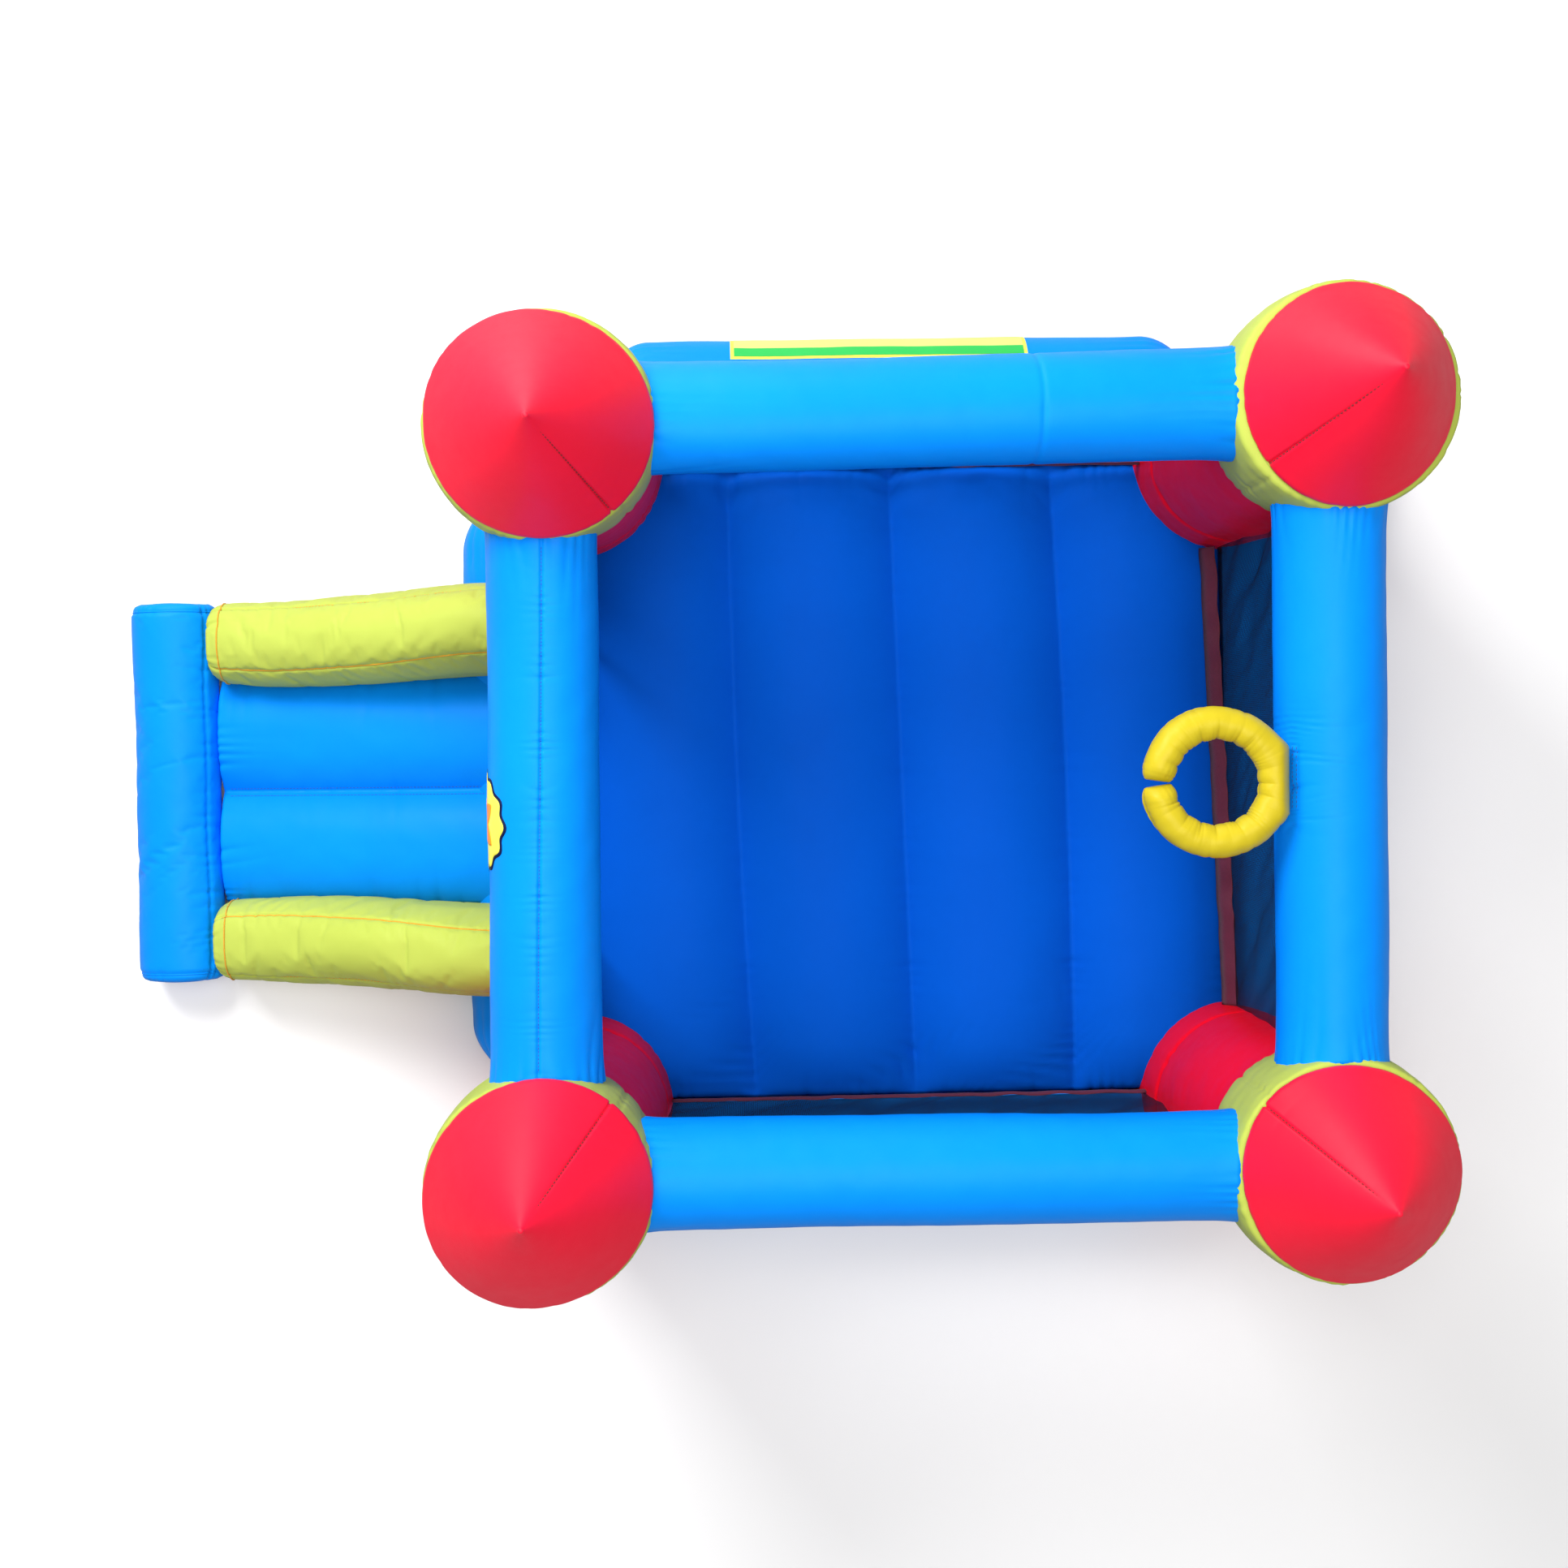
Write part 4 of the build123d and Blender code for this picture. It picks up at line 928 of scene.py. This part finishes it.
def make_bolster(label, sign, seed):
    """An upright chamber beside the slide bed, lower at the foot, fuller than a box."""
    t = np.linspace(0, 1, 150)[:, None]
    start, stop = bolster_high.y - 0.10, bolster_low.y + 0.002
    y = start + (stop - start) * t
    width = bolster_high.x - bolster_low.x
    centre_x = sign * (bolster_low.x + bolster_high.x) / 2
    top_at_start, top_at_foot = 0.585, 0.275
    top = top_at_start + (top_at_foot - top_at_start) * t + 0.018 * np.sin(math.pi * t * 1.6)
    x, z, a = superbox(width, 1.0, 132, 2.9)
    shrink = 0.80 + 0.20 * quarter(np.minimum(t, 1 - t) / 0.045)
    sway = sign * (0.030 * smooth(1 - t / 0.5) + 0.006 * np.sin(TAU * t))
    waist = 1 - 0.05 * smooth((t - 0.75) / 0.25)
    px = centre_x + x * shrink * waist + sway * (0.3 + 0.7 * (z + 0.5))
    pz = 0.004 + (z + 0.5) * top * (0.985 + 0.015 * shrink)
    points = joined(px, y, pz)
    outward = directions(points, joined(centre_x, y, top * 0.5))
    girth = a * (width + 0.5) / math.pi
    run = t * (start - stop)
    relief = rumples(joined(run, girth), seed, (0.0020, 0.35), (0.0004, 0.09))
    near_bed, far_side = (math.pi - 0.95, 0.62) if sign > 0 else (0.95, math.pi - 0.62)
    for angle in (near_bed, far_side):
        off = np.abs(a - angle) * 0.16
        relief += seam(off, 0.006, 0.006)
        relief += puckers(run, off, 0.045, 0.035, 0.008, seed + 2 + int(angle))
    ends = np.minimum(run, run.max() - run)
    relief += puckers(girth, ends, 0.04, 0.05, 0.010, seed + 7)
    points = points + outward * relief[..., None]
    pins = np.zeros(relief.shape)
    pins[:, np.minimum(np.abs(a - near_bed), np.abs(a - far_side)) < 0.04] = 1
    pins[:, a > math.pi] = 0.5
    pins[:3] = pins[-3:] = 1
    points = inflated(points, pins)
    closed_piece("bolster_cloth_" + label, points, lime, replaces=["slide_bolster_" + label])
    inner, outer = (np.argmin(np.abs(a - angle)) for angle in (near_bed, far_side))
    gold = {"material": thread_gold, "slot": "lime_fabric"}
    path = points[4:-4, inner] + outward[4:-4, inner] * 0.0012
    cord("bolster_piping_" + label, path, 0.0022, **gold)
    stitch_row("bolster_stitches_" + label, points[4:-4, outer] + outward[4:-4, outer] * 0.001, **gold)
    end_seam = points[-7] + outward[-7] * 0.0015
    cord("bolster_end_piping_" + label, end_seam, 0.0020, closed=True, **gold)


def make_bed():
    """Two crowned lanes that run down from the front wall to the foot tube."""
    columns = 130
    t = np.linspace(0, 1, 140)[:, None]
    u = np.linspace(-1, 1, columns)[None, :]
    half = bed_high.x + 0.012
    start, stop = -tower_y - 0.10, bed_low.y + 0.002
    x, y = half * u, start + (stop - start) * t
    top_start, top_end = bed_high.z + 0.012, 0.150
    depth = 0.065
    crown = 1 - np.abs(2 * np.abs(u) - 1) ** 2.4
    z = top_start + (top_end - top_start) * t + 0.010 * np.sin(math.pi * t) - depth * (1 - crown)
    z += puckers(start - y, np.abs(x), 0.045, 0.03, 0.005, 121)
    z += puckers(start - y, half - np.abs(x), 0.05, 0.05, 0.010, 122)
    z += puckers(x, y - stop, 0.04, 0.05, 0.010, 123)
    z += rumples(joined(x, y), 124, (0.0018, 0.4), (0.0004, 0.1))
    top = joined(x, y, z)
    slab_piece("slide_bed_cloth", top, 0.004, sky, replaces=["slide_bed"])
    for label, sign in SIDES.items():
        line = top[3:-3, columns // 2 + sign * 2] + 0.001 * UP
        stitch_row("bed_stitches_" + label, line, thread_navy, radius=0.0009)


def make_foot():
    """The tube across the slide's foot, pinched by a seam before each end."""
    t = np.linspace(-1, 1, 190)[:, None]
    half = foot_high.x
    end_seam = half * 0.955
    depth, height = foot_high.y - foot_low.y, foot_high.z - foot_low.z
    y, z, a = superbox(depth, height, 110, 2.25)
    shrink = 0.80 + 0.20 * quarter((1 - np.abs(t)) / 0.07)
    waist = 1 - 0.03 * np.cos(t * math.pi / 2)
    x = t * half
    centre_y, centre_z = (foot_low.y + foot_high.y) / 2, height / 2
    points = joined(x, centre_y + y * shrink * waist, centre_z + z * shrink)
    outward = directions(points, joined(x, centre_y, centre_z))
    girth = a * depth / 2
    relief = rumples(joined(x, girth), 131, (0.0018, 0.4), (0.0004, 0.1)) - 0.002
    off = np.abs(girth - 0.62 * depth / 2)
    relief += seam(off, 0.005, 0.006) + puckers(x, off, 0.032, 0.035, 0.006, 133)
    to_end = end_seam - np.abs(x)
    relief += puckers(girth, np.maximum(to_end, 0), 0.035, 0.05, 0.006, 134)
    relief += seam(to_end, 0.004, 0.005)
    points = points + outward * relief[..., None]
    pins = np.zeros(relief.shape)
    pins[:, (a > 1.15 * math.pi) & (a < 1.85 * math.pi)] = 0.5
    pins[:, off < 0.004] = 1
    pins[np.abs(to_end[:, 0]) < 0.004] = 1
    points = inflated(points, pins, growth=0.004, reach=0.008)
    closed_piece("slide_foot_cloth", points, sky, replaces=["slide_foot_tube"])
    for label, sign in SIDES.items():
        row = np.argmin(np.abs(x - sign * end_seam))
        cord("foot_piping_" + label, points[row] + outward[row] * 0.0008, 0.0022, sky, closed=True)


make_bolster("right", 1, 140)
make_bolster("left", -1, 160)
make_bed()
make_foot()


# ------------------------------------------------------------------ ball hoop
hoop_mid = (hoop_low + hoop_high) / 2
hoop_out = (hoop_high.x - hoop_low.x) / 2
hoop_tube = (hoop_high.z - hoop_low.z) / 2
hoop_centre = Vector((hoop_mid.x, hoop_low.y + hoop_out, hoop_mid.z))
seam_y = hoop_high.y
seam_z = joint_place("hoop_fold").z
seam_turn = math.atan2(tower_y - seam_y, seam_z - tube_z)    # the seam's angle on the tube
hoop_edge = size_of("hoop_tape").x / 2
hoop_corner = math.atan2(hoop_edge, hoop_out)        # half angle of the sewn edge
hoop_clearance = math.tan(math.radians(20))          # slope of the gap under the ring


def make_hoop():
    """A split ring sewn from two flat rings: scalloped inside, flat where it meets the tube."""
    gap = 0.013                      # half of the split, in radians
    sewn_at = math.pi / 2            # direction of the sewn edge, opposite to the split
    major = hoop_out - hoop_tube
    a = np.linspace(sewn_at - math.pi + gap, sewn_at + math.pi - gap, 420)[:, None]
    turn = np.linspace(0, TAU, 64, endpoint=False)[None, :]
    run = a * major
    from_outer = np.abs(np.angle(np.exp(1j * turn))) * hoop_tube
    from_inner = np.abs(np.angle(np.exp(1j * (turn - math.pi)))) * hoop_tube
    ends = np.minimum(run - run.min(), run.max() - run)
    thick = quarter(ends / 0.034) * 0.97 + 0.03
    # the inner seam is pulled tight between soft bulges
    beat = run / 0.052 + 0.25 * field(run[..., None], 0.16, 150)
    bulge = np.abs(np.sin(math.pi * beat))
    relief = -0.0030 * (1 - bulge ** 0.9) * smooth(-np.cos(turn) * 1.5)
    relief -= 0.0014 * (1 - bulge) ** 6 * np.exp(-from_inner / 0.045)
    relief += puckers(run, from_inner, 0.015, 0.050, 0.0034, 151)
    relief += puckers(run, from_outer, 0.022, 0.030, 0.0026, 157)
    relief += seam(from_outer, 0.0035, 0.003) + seam(from_inner, 0.005, 0.004)
    relief += rumples(joined(run, turn * hoop_tube), 152, (0.0006, 0.05), (0.0012, 0.15))
    relief += puckers(turn * hoop_tube, ends, 0.018, 0.026, 0.006, 154)
    r = hoop_tube + relief
    wide = r * (0.72 + 0.28 * thick)
    # the ring swells out to two corners where it is sewn down
    off_seam = np.abs(a - sewn_at)
    fold = np.minimum(off_seam, np.maximum(2 * hoop_corner - off_seam, 0))
    spread = hoop_out * (1 / np.cos(fold) - 1) * smooth((np.cos(turn) + 0.6) / 1.4)
    reach = major + wide * np.cos(turn) * 1.02 + spread
    # the two free ends part a little more on the outside of the ring
    part = 0.045 * (1 - smooth(ends / 0.05)) * (0.5 + 0.5 * np.cos(turn))
    way = a - np.sign(a - sewn_at) * part
    x = hoop_centre.x + reach * np.cos(way)
    y = np.minimum(hoop_centre.y + reach * np.sin(way), seam_y - 0.001)
    # near the tube the ring thins out to the sewn edge and keeps clear of the tube below it
    z = hoop_centre.z + r * thick * np.sin(turn) * 0.97
    z = seam_z + 0.004 + (z - seam_z - 0.004) * quarter((seam_y - y) / hoop_tube)
    z = np.maximum(z, seam_z + 0.001 - (seam_y - y) * hoop_clearance)
    points = joined(x, y, z)
    ride = {"body": "hoop", "leaning": False}
    closed_piece("hoop_cloth", points, yellow, replaces=["hoop_ring"], **ride)
    edge_x = np.linspace(-hoop_edge, hoop_edge, 60) + hoop_centre.x
    edge = joined(edge_x, seam_y - 0.003, seam_z + 0.0065)
    cord("hoop_edge_piping", edge, 0.0024, thread_gold, slot="yellow_fabric", **ride)
    a = a[:, 0]
    outer = points[:, 0] + 0.0008 * joined(np.cos(a), np.sin(a), 0)
    for label, sign in SIDES.items():
        free = sign * (sewn_at - a) > hoop_corner
        name = "hoop_outer_stitches_" + label
        stitch_row(name, outer[free], thread_gold, slot="yellow_fabric", **ride)


def make_hoop_tape():
    """The strip of the tube's own cloth that the hoop is sewn to, with two rows of stitches."""
    low, high = (box.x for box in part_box("hoop_tape"))
    s = np.linspace(low, high, 90)[:, None]
    angle = np.linspace(seam_turn - math.radians(11), seam_turn - math.radians(1.5), 14)[None, :]
    edge = np.clip(np.minimum(s - low, high - s) / 0.004, 0, 1)
    points = on_tube("rear", s, angle, 0.0006 + 0.0012 * edge)
    grid_piece("hoop_tape_cloth", points, sky, replaces=["hoop_tape"])
    for row, degrees in (("upper", 9), ("lower", 4)):
        line = np.linspace(low + 0.004, high - 0.004, 80)
        line = on_tube("rear", line, seam_turn - math.radians(degrees), 0.0026)
        stitch_row("hoop_tape_stitches_" + row, line, thread_navy, radius=0.0009)


make_hoop()
make_hoop_tape()


# ------------------------------------------------------------------ patches
badge_x = middle_of("sun_badge").x
badge_r = size_of("sun_badge").x / 2
badge_angle = -math.pi / 2           # on the outside of the front tube


def badge_disc(name, outline, scale, material, extra, spokes=96, **rest):
    """A flat patch laid on the front tube: outline gives its radius for each direction."""
    phi = np.linspace(0, TAU, spokes, endpoint=False)[None, :]
    rho = np.linspace(0.02, 1, 14)[:, None] * badge_r * scale * outline(phi)
    s = badge_x + rho * np.cos(phi)
    angle = badge_angle + rho * np.sin(phi) / tube_r
    points = on_tube("front", s, angle, extra)
    sunk = on_tube("front", s[-1:], angle[-1:], extra - 0.002)
    points = np.concatenate([points, points[-1:] * 0.5 + sunk * 0.5, sunk])
    closed_piece(name, points, material, **rest)


def sun(phi):
    """A disc with twelve shallow scallops."""
    return 0.955 + 0.045 * np.cos(12 * phi)


def star(phi):
    """A star with five points."""
    turn = ((phi + math.pi / 2) / TAU * 5) % 1.0
    return 0.5 + 0.5 * (np.abs(turn - 0.5) * 2) ** 1.3


badge_disc("badge_rim", sun, 1.0, navy_print, 0.0012, replaces=["sun_badge"])
badge_disc("badge_face", sun, 0.93, yellow_print, 0.0022)
badge_disc("badge_star", star, 0.66, orange_print, 0.0032, spokes=200)


def wall_panel(name, inset, t0, t1, material, extra, **rest):
    """A printed panel on the left wall, from t0 to t1 of the wall's section."""
    low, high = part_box("blank_panel")
    s = np.linspace(low.y + inset, high.y - inset, 120)[:, None]
    points = on_wall("left", s, np.linspace(t0, t1, 40)[None, :], extra)
    grid_piece(name, points, material, centre=house_middle, **rest)


wall_panel("panel_border", 0.0, 0.455, 0.80, yellow_print, 0.0012, replaces=["blank_panel"])
wall_panel("panel_field", 0.010, 0.515, 0.788, cream_print, 0.0020)
wall_panel("panel_band", 0.010, 0.468, 0.515, green_print, 0.0022)


# ------------------------------------------------------------------ inflation sleeve and its strap
sleeve_low, sleeve_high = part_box("inflation_sleeve")
sleeve_r = (sleeve_high.z - sleeve_low.z) / 2
sleeve_z = (sleeve_high.z + sleeve_low.z) / 2
fan_y = sleeve_high.y - sleeve_r
inlet_x = sleeve_high.x - sleeve_r
sleeve_bend = 0.095
strap_x = middle_of("sleeve_strap").x


def make_sleeve():
    """A loose cloth pipe out of the fan, round and into the wall: pulled in, creased in its bend."""
    straight = inlet_x - sleeve_bend - sleeve_low.x
    arc = sleeve_bend * math.pi / 2
    tail = fan_y - sleeve_bend - (wall_out_y - 0.03)
    along = np.linspace(0, straight + arc + tail, 240)[:, None]
    bend = np.clip((along - straight) / sleeve_bend, 0, math.pi / 2)
    x = sleeve_low.x + np.minimum(along, straight) + sleeve_bend * np.sin(bend)
    y = fan_y - sleeve_bend * (1 - np.cos(bend)) - np.maximum(along - straight - arc, 0)
    turn = np.linspace(0, TAU, 84, endpoint=False)[None, :]
    girth = turn * sleeve_r
    from_strap = along - (strap_x - sleeve_low.x)
    tight = np.exp(-((from_strap / 0.022) ** 2))
    relief = rumples(joined(along, girth), 181, (0.0030, 0.10), (0.0014, 0.035)) - 0.003
    relief = relief * (1 - 0.8 * tight) + 0.002 * tight
    relief += puckers(girth, np.abs(from_strap), 0.016, 0.035, 0.007, 183) * (1 - tight * 0.7)
    relief += puckers(girth, along[-1] - 0.03 - along, 0.020, 0.035, 0.008, 184)
    in_bend = smooth((along - straight) / 0.03) * smooth((straight + arc - along) / 0.03)
    crease = (0.5 + 0.5 * np.cos(along / 0.021 * math.pi)) ** 2
    relief -= 0.010 * in_bend * smooth(-np.cos(turn) * 1.3) * crease
    r = sleeve_r + relief
    sideways = r * np.cos(turn)
    points = joined(x + sideways * np.sin(bend), y + sideways * np.cos(bend), sleeve_z + r * np.sin(turn))
    grid_piece(
        "sleeve_cloth", points, royal, wrap=True, replaces=["inflation_sleeve"], leaning=False
    )
    # two rows of stitches hold the hem at the fan's end
    for name, row in (("hem", 4), ("hem_inner", 12)):
        stitch_row(
            "sleeve_%s_stitches" % name, points[row], thread_gold, radius=0.0009,
            slot="royal_fabric", leaning=False,
        )


def make_strap():
    """Webbing strap with a plain buckle that ties the sleeve to the fan's spigot."""
    turn = np.linspace(0, TAU, 120, endpoint=False)[None, :]
    section = np.array([(-1.0, 0.0), (-0.92, 1.0), (0.92, 1.0), (1.0, 0.0)])
    half = 0.0125
    x = strap_x + section[:, :1] * half + 0.0012 * np.sin(turn * 5 + 1)
    r = sleeve_r + 0.0045 + 0.0022 * section[:, 1:]
    points = joined(x, fan_y + r * np.cos(turn), sleeve_z + r * np.sin(turn))
    grid_piece("strap_webbing", points, webbing, wrap=True, replaces=["sleeve_strap"], leaning=False)
    top = sleeve_z + sleeve_r + 0.008
    x, y, _ = superbox(0.032, 0.026, 48, 5.0)
    buckle = joined(strap_x + x, fan_y + y, top)
    cord("strap_buckle", buckle, 0.0022, dark, closed=True, leaning=False, slot="webbing")
    t = np.linspace(0, 1, 40)[:, None]
    x = strap_x + 0.004 * np.sin(5 * t) + np.linspace(-0.011, 0.011, 7)
    y = fan_y - 0.012 - 0.075 * t
    z = top - 0.002 - 0.052 * t ** 1.8 + 0.004 * np.sin(9 * t)
    down = np.array([0, 0.0008, 0.0014])
    sheet_piece("strap_tail", joined(x, y, z), down, webbing, leaning=False)


make_sleeve()
make_strap()


# ------------------------------------------------------------------ anchor tabs
tab_z = 0.006
tab_half = 0.025
tab_thick = 0.0022
eyelet_gap = 0.0146
anchor_reach = next(
    math.hypot(abs(m["pos_m"][0]) - tower_x, abs(m["pos_m"][1]) - tower_y)
    for m in frame["record"]["mounts"] if m["name"] == "anchor_front_left"
)


def make_tab(corner, seed):
    """A webbing tab: a square turned round the eyelet and a strip back to the column's foot."""
    across, along = CORNERS[corner]
    way = np.array([across, along, 0.0]) / math.sqrt(2)
    side = np.array([-way[1], way[0], 0.0])
    root = np.array([tower[corner].x, tower[corner].y, tab_z])

    def laid(u, v, up):
        """Points u out from the column, v to the side and up from the tab's underside."""
        return root + joined(u, v, up) @ np.array([way, side, UP])

    turn = np.linspace(0, TAU, 96, endpoint=False)
    square = tab_half / np.maximum(np.abs(np.cos(turn)), np.abs(np.sin(turn)))
    share = np.linspace(0, 1, 12)[:, None]
    reach = eyelet_gap + (square - eyelet_gap) * share
    u = anchor_reach + reach * np.cos(turn) + 0.010 * share * np.maximum(np.cos(turn), 0)
    v = reach * np.sin(turn)
    top = laid(u, v, 0.0012 + 0.0012 * field(joined(u, v), 0.03, seed) * share)
    rings = np.concatenate([top, top[::-1] - tab_thick * UP, top[:1]])
    grid_piece("tab_eye_" + corner, rings, webbing, wrap=True, leaning=False)
    u = np.linspace(column_r - 0.010, anchor_reach - tab_half, 60)[:, None]
    v = np.linspace(-tab_half, tab_half, 14)[None, :]
    rise = 0.0012 + 0.0030 * field(joined(u, v * 0.4), 0.06, seed + 1)
    rise = rise * smooth((anchor_reach - tab_half - u) / 0.02) + 0.001
    sheet_piece(
        "tab_strip_" + corner, laid(u, v, rise), tab_thick * UP, webbing, leaning=False,
        replaces=["anchor_tabs"] if corner == "front_left" else (),
    )
    u = anchor_reach + 0.028 * np.array([-1.0, -0.78, -0.78, -1.0, -1.0])
    v = 0.021 * np.array([-1.0, -1.0, 1.0, 1.0, -1.0])
    stitch_row(
        "tab_stitches_" + corner, laid(u, v, 0.0036), cream_print, pitch=0.006, length=0.0042,
        leaning=False, slot="webbing",
    )


for index, name in enumerate(CORNERS):
    make_tab(name, 190 + 4 * index)


# ------------------------------------------------------------------ deflation zip
def make_zip():
    """Cloth tapes on the belly of the rear wall, with a row of moulded teeth between them."""
    x = np.linspace(zip_low.x, zip_high.x, 180)[:, None]
    v = np.linspace(0, 1, 17)[None, :]
    z = zip_low.z + (zip_high.z - zip_low.z) * v
    y = zip_low.y + 0.0010 + 0.0002 * field(joined(x, z), 0.05, 211)
    y += 0.0004 * np.abs(np.sin((v - 0.5) * math.pi))
    tape = {"leaning": False, "slot": "zip_tape"}
    thick = np.array([0, 0.0018, 0])
    sheet_piece("zip_cloth", joined(x, y, z), thick, webbing, replaces=["deflation_zip"], **tape)
    ends = np.array([zip_low.x + 0.006, zip_high.x - 0.006])
    middle = (zip_low.z + zip_high.z) / 2
    for name, offset, start in (("upper", 0.0012, 0.0), ("lower", -0.0012, 0.0015)):
        line = joined(ends + start, zip_low.y + 0.0030, middle + offset)
        stitch_row("zip_teeth_" + name, line, dark, 0.003, 0.0022, 0.0016, **tape)
    for name, height in (("upper", zip_high.z - 0.004), ("lower", zip_low.z + 0.004)):
        line = joined([zip_low.x + 0.003, zip_high.x - 0.003], zip_low.y + 0.0030, height)
        stitch_row("zip_stitches_" + name, line, thread_gold, radius=0.0009, **tape)


make_zip()


# ------------------------------------------------------------------ hard parts keep their CAD shape
finishes = {
    "fan_shell": moulded("fan_blue_plastic", (0.02, 0.10, 0.34), 0.42),
    "fan_dark": dark,
    "fan_wheel": moulded("grey_plastic", (0.09, 0.09, 0.10), 0.5),
    "steel": moulded("zinc_steel", (0.60, 0.61, 0.63), 0.32, 300, 1.0),
    "motor": moulded("motor_paint", (0.08, 0.08, 0.085), 0.45, 400),
    "rubber": moulded("rubber", (0.02, 0.02, 0.02), 0.7, 200),
    "rocker": moulded("red_switch", (0.55, 0.02, 0.01), 0.3, 900),
    "cord": moulded("cord_sheath", (0.015, 0.015, 0.017), 0.5, 250),
    "brass": moulded("brass", (0.78, 0.55, 0.20), 0.3, 500, 1.0),
    "zip_metal": moulded("black_lacquer", (0.02, 0.02, 0.022), 0.35, 500),
    "webbing": webbing,
    "zip_tape": webbing,
    "patch": yellow_print,
    "baffle": cream_print,
    "yellow_fabric": yellow,
    "royal_fabric": royal,
    "sky_fabric": sky,
}
slots = {p["node"]: p["material_slot"] for p in frame["record"]["subparts"]}
for node, obj in frame["nodes"].items():
    if obj.hide_render or slots[node] not in finishes:
        continue
    obj.data.materials.clear()
    obj.data.materials.append(finishes[slots[node]])


# ------------------------------------------------------------------ stage, light and camera
def stage_floor():
    """A wide ground, pale to the camera and greyer in the light that it throws back."""
    bpy.ops.mesh.primitive_plane_add(size=60, location=(0, 0, -0.001))
    ground = bpy.context.object
    ground.name = "ground"
    look = Look("pale_ground")
    seen = look.node("LightPath", {})["Is Camera Ray"]
    tone = look.mix(seen, (0.40, 0.41, 0.43), (0.95, 0.95, 0.95))
    values = {"Base Color": tone, "Roughness": 0.9, "Specular IOR Level": 0.0}
    ground.data.materials.append(look.surface(values))


def area_light(name, place, aim, size, power):
    """A soft square light that looks at the aim."""
    data = bpy.data.lights.new(name, "AREA")
    data.energy = power
    data.size = size
    light = bpy.data.objects.new(name, data)
    light.location = place
    way = Vector(aim) - Vector(place)
    light.rotation_euler = way.to_track_quat("-Z", "Y").to_euler()
    bpy.context.scene.collection.objects.link(light)


stage_floor()
area_light("key", (-4.2, -3.4, 5.6), (0, 0, 0.6), 3.0, 470)
area_light("side", (-6.0, -2.0, 2.2), (0, 0, 0.8), 3.0, 170)
area_light("top", (0.3, -0.3, 7.5), (0, 0, 0.5), 4.0, 330)
world = bpy.data.worlds.new("studio")
world.use_nodes = True
backdrop = world.node_tree.nodes["Background"]
backdrop.inputs["Color"].default_value = (1, 1, 1, 1)
backdrop.inputs["Strength"].default_value = 0.42
bpy.context.scene.world = world
bpy.context.scene.view_settings.view_transform = "Standard"

# The camera hangs above the house and looks down, turned so that the slide is on the left.
camera_place = Vector((-0.1714, -0.4878, 5.9344))
pan, tilt, roll = -0.0279, -0.0303, -0.0164
base = Matrix(((0, 1, 0), (1, 0, 0), (0, 0, -1)))       # rows: right, down, forward
swing = Matrix.Rotation(pan, 3, "Y")
nod = Matrix.Rotation(-tilt, 3, "X")
spin = Matrix.Rotation(roll, 3, "Z")
right, down, forward = spin @ nod @ swing @ base
axes = Matrix((right, -down, -forward)).transposed()
camera_data = bpy.data.cameras.new("camera")
camera_data.lens = 47.28
camera_data.sensor_width = 36
camera = bpy.data.objects.new("camera", camera_data)
camera.matrix_world = Matrix.Translation(camera_place) @ axes.to_4x4()
bpy.context.scene.collection.objects.link(camera)
bpy.context.scene.camera = camera
